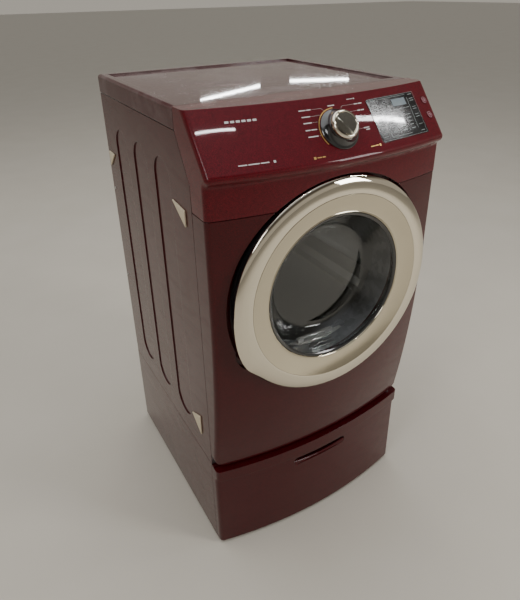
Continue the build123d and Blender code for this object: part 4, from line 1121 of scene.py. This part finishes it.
@dataclass
class CornerPads:
    """Scraps of cream foam left on the left side's corners."""

    wardrobe: Wardrobe
    side_x: float = -343.0
    thick: float = 4.5
    edge: float = 1.6

    def build(self) -> None:
        """Build the pads one by one from their corners, each given as y and z."""
        recipe = MouldedPlastic("Cream foam", (0.66, 0.57, 0.42), 0.9, 260.0, 0.9, dust=0.25)
        foam = recipe.build(self.wardrobe.effects)
        outlines = (
            ((-163.0, 1110.0), (-236.0, 1104.0), (-236.0, 1062.0)),
            ((-161.0, 440.0), (-220.0, 468.0), (-220.0, 399.0)),
            ((359.0, 1108.0), (306.0, 1106.0), (359.0, 1060.0)),
        )
        for number, corners in enumerate(outlines, 1):
            deselect_all()
            bpy.ops.mesh.primitive_circle_add(vertices=3, radius=1.0, fill_type="NGON")
            pad = bpy.context.object
            for vertex, (y, z) in zip(pad.data.vertices, corners):
                vertex.co = Vector((self.side_x, y, z)) * MM
            bpy.ops.object.mode_set(mode="EDIT")
            bpy.ops.mesh.select_all(action="SELECT")
            move = {"value": (-self.thick * MM, 0, 0)}
            bpy.ops.mesh.extrude_region_move(TRANSFORM_OT_translate=move)
            bpy.ops.mesh.select_all(action="SELECT")
            bpy.ops.mesh.bevel(offset=self.edge * MM, segments=3)
            bpy.ops.object.mode_set(mode="OBJECT")
            settle(pad, f"foam_pad_{number}")
            recalculate(pad)
            smooth(pad, 60.0)
            mount(pad, foam, "cabinet", "white_plastic")


@dataclass
class PaleEdgeStrokes:
    """Pale strokes laid on the console's rounded right edge."""

    face: ConsoleFace
    wardrobe: Wardrobe
    across: float = 337.5
    sink: float = 2.5
    lean: float = 34.0
    width: float = 2.6
    thick: float = 0.5

    def build(self) -> None:
        """Build the strokes as one piece."""
        # Five pale strokes on the console's rounded right edge, tilted to lie on it.
        tilt = Matrix.Rotation(math.radians(self.lean), 4, "Y")
        edge_strokes = []
        for down, length in ((4.0, 13.0), (26.0, 20.0), (58.0, 17.0), (90.0, 9.0), (112.0, 12.0)):
            place = self.face.place(self.across, down, -self.sink) @ tilt
            edge_strokes.append(rounded_block("edge_stroke", (self.width, length, self.thick), place, 0.2))
        stroke_finish = MouldedPlastic("Pale edge strokes", (0.62, 0.58, 0.54), 0.6, 300.0, 0.5)
        piece = join(edge_strokes, "console_edge_strokes")
        mount(piece, stroke_finish.build(self.wardrobe.effects), "cabinet", "white_plastic")


@dataclass
class DrawerPull:
    """Curved lip along the bottom of the drawer's pull slot."""

    wardrobe: Wardrobe
    face_y: float = -338.0
    low_z: float = 234.5
    half_width: float = 96.0
    sag: float = 11.0
    sink: float = 3.6
    depth: float = 10.0
    drop: float = 14.0

    def build(self) -> None:
        """Turn the lip about a point high above the slot."""
        radius = (self.half_width**2 + self.sag**2) / (2 * self.sag)
        sweep = 2 * math.degrees(math.asin(self.half_width / radius))
        centre = Vector((0, 0, self.low_z + 3.0 + radius)) * MM
        place = oriented(centre, Vector((1, 0, 0)), Vector((0, -1, 0)))
        front = -self.face_y - self.sink
        back = front - self.depth
        outline = [(radius + self.drop, front), (radius + 1.2, front), (radius - 1.6, front - 1.4)]
        outline += [(radius - 2.6, front - 4.5), (radius - 1.6, front - 8.0)]
        outline += [(radius + 2.0, back), (radius + self.drop, back)]
        lip = spun_piece("drawer_pull_lip", outline, place, 40, start=270 - sweep / 2, sweep=sweep)
        smooth(lip, 50.0)
        mount(lip, self.wardrobe.get(Finish.MERLOT_PAINT), "drawer", "merlot_paint")


# --------------------------------------------------------------------- studio
@dataclass
class Studio:
    """Pale floor, soft lights and the camera."""

    camera_place: tuple[float, float, float] = (-0.769, -1.321, 1.562)
    azimuth: float = -30.46
    elevation: float = 26.85
    roll: float = -0.82
    lens: float = 32.15
    shift: Point = (-0.0093, -0.0702)
    floor_size: float = 90.0
    box_aim: float = 0.8
    tube_aim: float = 1.3
    world_strength: float = 0.8

    def build(self) -> None:
        """Build the whole studio."""
        self.build_floor()
        self.build_lights()
        self.build_world()
        self.build_camera()

    def build_floor(self) -> None:
        """A pale, faintly mottled floor."""
        deselect_all()
        bpy.ops.mesh.primitive_plane_add(size=self.floor_size, location=(0, 0, 0))
        floor = settle(bpy.context.object, "studio_floor")
        pale = Material("Pale floor")
        mottle = pale.nodes.noise(pale.nodes.coords(), 3.0, 4.0)
        pale.drive("Base Color", pale.nodes.mix(mottle, (0.58, 0.535, 0.45, 1), (0.64, 0.595, 0.51, 1)))
        pale.set(Roughness=0.75)
        dress(floor, pale.data)

    def light(self, name: str, place: Matrix, size: Point, power: float) -> None:
        """Add a rectangular light.

        Args:
            name: the light's name.
            place: where it stands; it shines along its own -z.
            size: its width and height, in metres.
            power: its power in watts.
        """
        data = bpy.data.lights.new(name, "AREA")
        data.shape = "RECTANGLE"
        data.size, data.size_y = size
        data.energy = power
        lamp = bpy.data.objects.new(name, data)
        lamp.matrix_world = place
        bpy.context.scene.collection.objects.link(lamp)

    def soft_box(self, name: str, stand: Vector, size: Point, power: float) -> None:
        """Add a soft box that points at the machine's middle."""
        back = (stand - Vector((0, 0, self.box_aim))).normalized()
        self.light(name, oriented(stand, Vector((0, 0, 1)).cross(back).normalized(), back), size, power)

    def tube(self, name: str, start: Vector, end: Vector, thick: float, power: float) -> None:
        """Add a thin tube light between two points, facing the machine's top."""
        middle = (start + end) / 2
        across = (end - start).normalized()
        back = middle - Vector((0, 0, self.tube_aim))
        back -= across * back.dot(across)
        place = oriented(middle, across, back.normalized())
        self.light(name, place, ((end - start).length, thick), power)

    def build_lights(self) -> None:
        """Thin tubes that streak the gloss and soft boxes on both sides."""
        self.tube("tube_left", Vector((-0.2, -1.55, 3.55)), Vector((0.3, -1.6, 3.5)), 0.016, 3.0)
        self.tube("tube_right", Vector((1.8, -1.25, 2.95)), Vector((2.35, -0.95, 2.6)), 0.035, 6.0)
        self.tube("tube_back_left", Vector((0.95, 2.55, 1.87)), Vector((1.45, 2.5, 1.8)), 0.014, 0.9)
        self.tube("tube_back_right", Vector((1.7, 2.45, 1.78)), Vector((2.1, 2.2, 1.77)), 0.014, 0.7)
        self.soft_box("front_left", Vector((-2.9, -1.6, 3.1)), (1.2, 1.2), 26)
        self.soft_box("front_right", Vector((2.4, -3.0, 2.2)), (1.0, 1.6), 60)
        self.soft_box("overhead", Vector((-0.4, 1.2, 4.6)), (6.0, 5.0), 110)

    def build_world(self) -> None:
        """Plain soft surroundings: pale at the horizon, dim above it, bright overhead."""
        world = bpy.data.worlds.new("Studio surroundings")
        bpy.context.scene.world = world
        world.use_nodes = True
        n = Nodes(world.node_tree)
        place = n.add("TexCoord")
        split = n.add("SeparateXYZ")
        n.link(place.outputs["Generated"], split.inputs[0])
        low = n.ramp(split.outputs["Z"], 0.24, 0.42)
        high = n.ramp(split.outputs["Z"], 0.62, 0.95)
        colour = n.mix(low, (0.50, 0.465, 0.405, 1), (0.10, 0.085, 0.07, 1))
        colour = n.mix(high, colour, (0.95, 0.97, 1.0, 1))
        background = world.node_tree.nodes["Background"]
        n.link(colour, background.inputs["Color"])
        background.inputs["Strength"].default_value = self.world_strength

    def build_camera(self) -> None:
        """The camera at the viewing angle."""
        turn, rise, lean = (math.radians(v) for v in (self.azimuth, self.elevation, self.roll))
        back = Vector((math.sin(turn) * math.cos(rise), -math.cos(turn) * math.cos(rise), math.sin(rise)))
        level = (-back).cross(Vector((0, 0, 1))).normalized()
        upward = level.cross(-back)
        across = level * math.cos(lean) + upward * math.sin(lean)
        up = upward * math.cos(lean) - level * math.sin(lean)
        data = bpy.data.cameras.new("view")
        data.lens = self.lens
        data.sensor_width = 36.0
        data.shift_x, data.shift_y = self.shift
        camera = bpy.data.objects.new("view", data)
        turned = Matrix((across, up, back)).transposed().to_4x4()
        camera.matrix_world = Matrix.Translation(self.camera_place) @ turned
        bpy.context.scene.collection.objects.link(camera)
        bpy.context.scene.camera = camera


def main() -> None:
    """Build the machine's looks in order."""
    logging.basicConfig(level=logging.INFO)
    Studio().build()
    wardrobe = Wardrobe()
    wardrobe.dress_frame()
    face = ConsoleFace()
    Console(face, wardrobe).build()
    Dial(face, wardrobe).build()
    Door(wardrobe).build()
    CornerPads(wardrobe).build()
    PaleEdgeStrokes(face, wardrobe).build()
    DrawerPull(wardrobe).build()


if __name__ == "__main__":
    main()
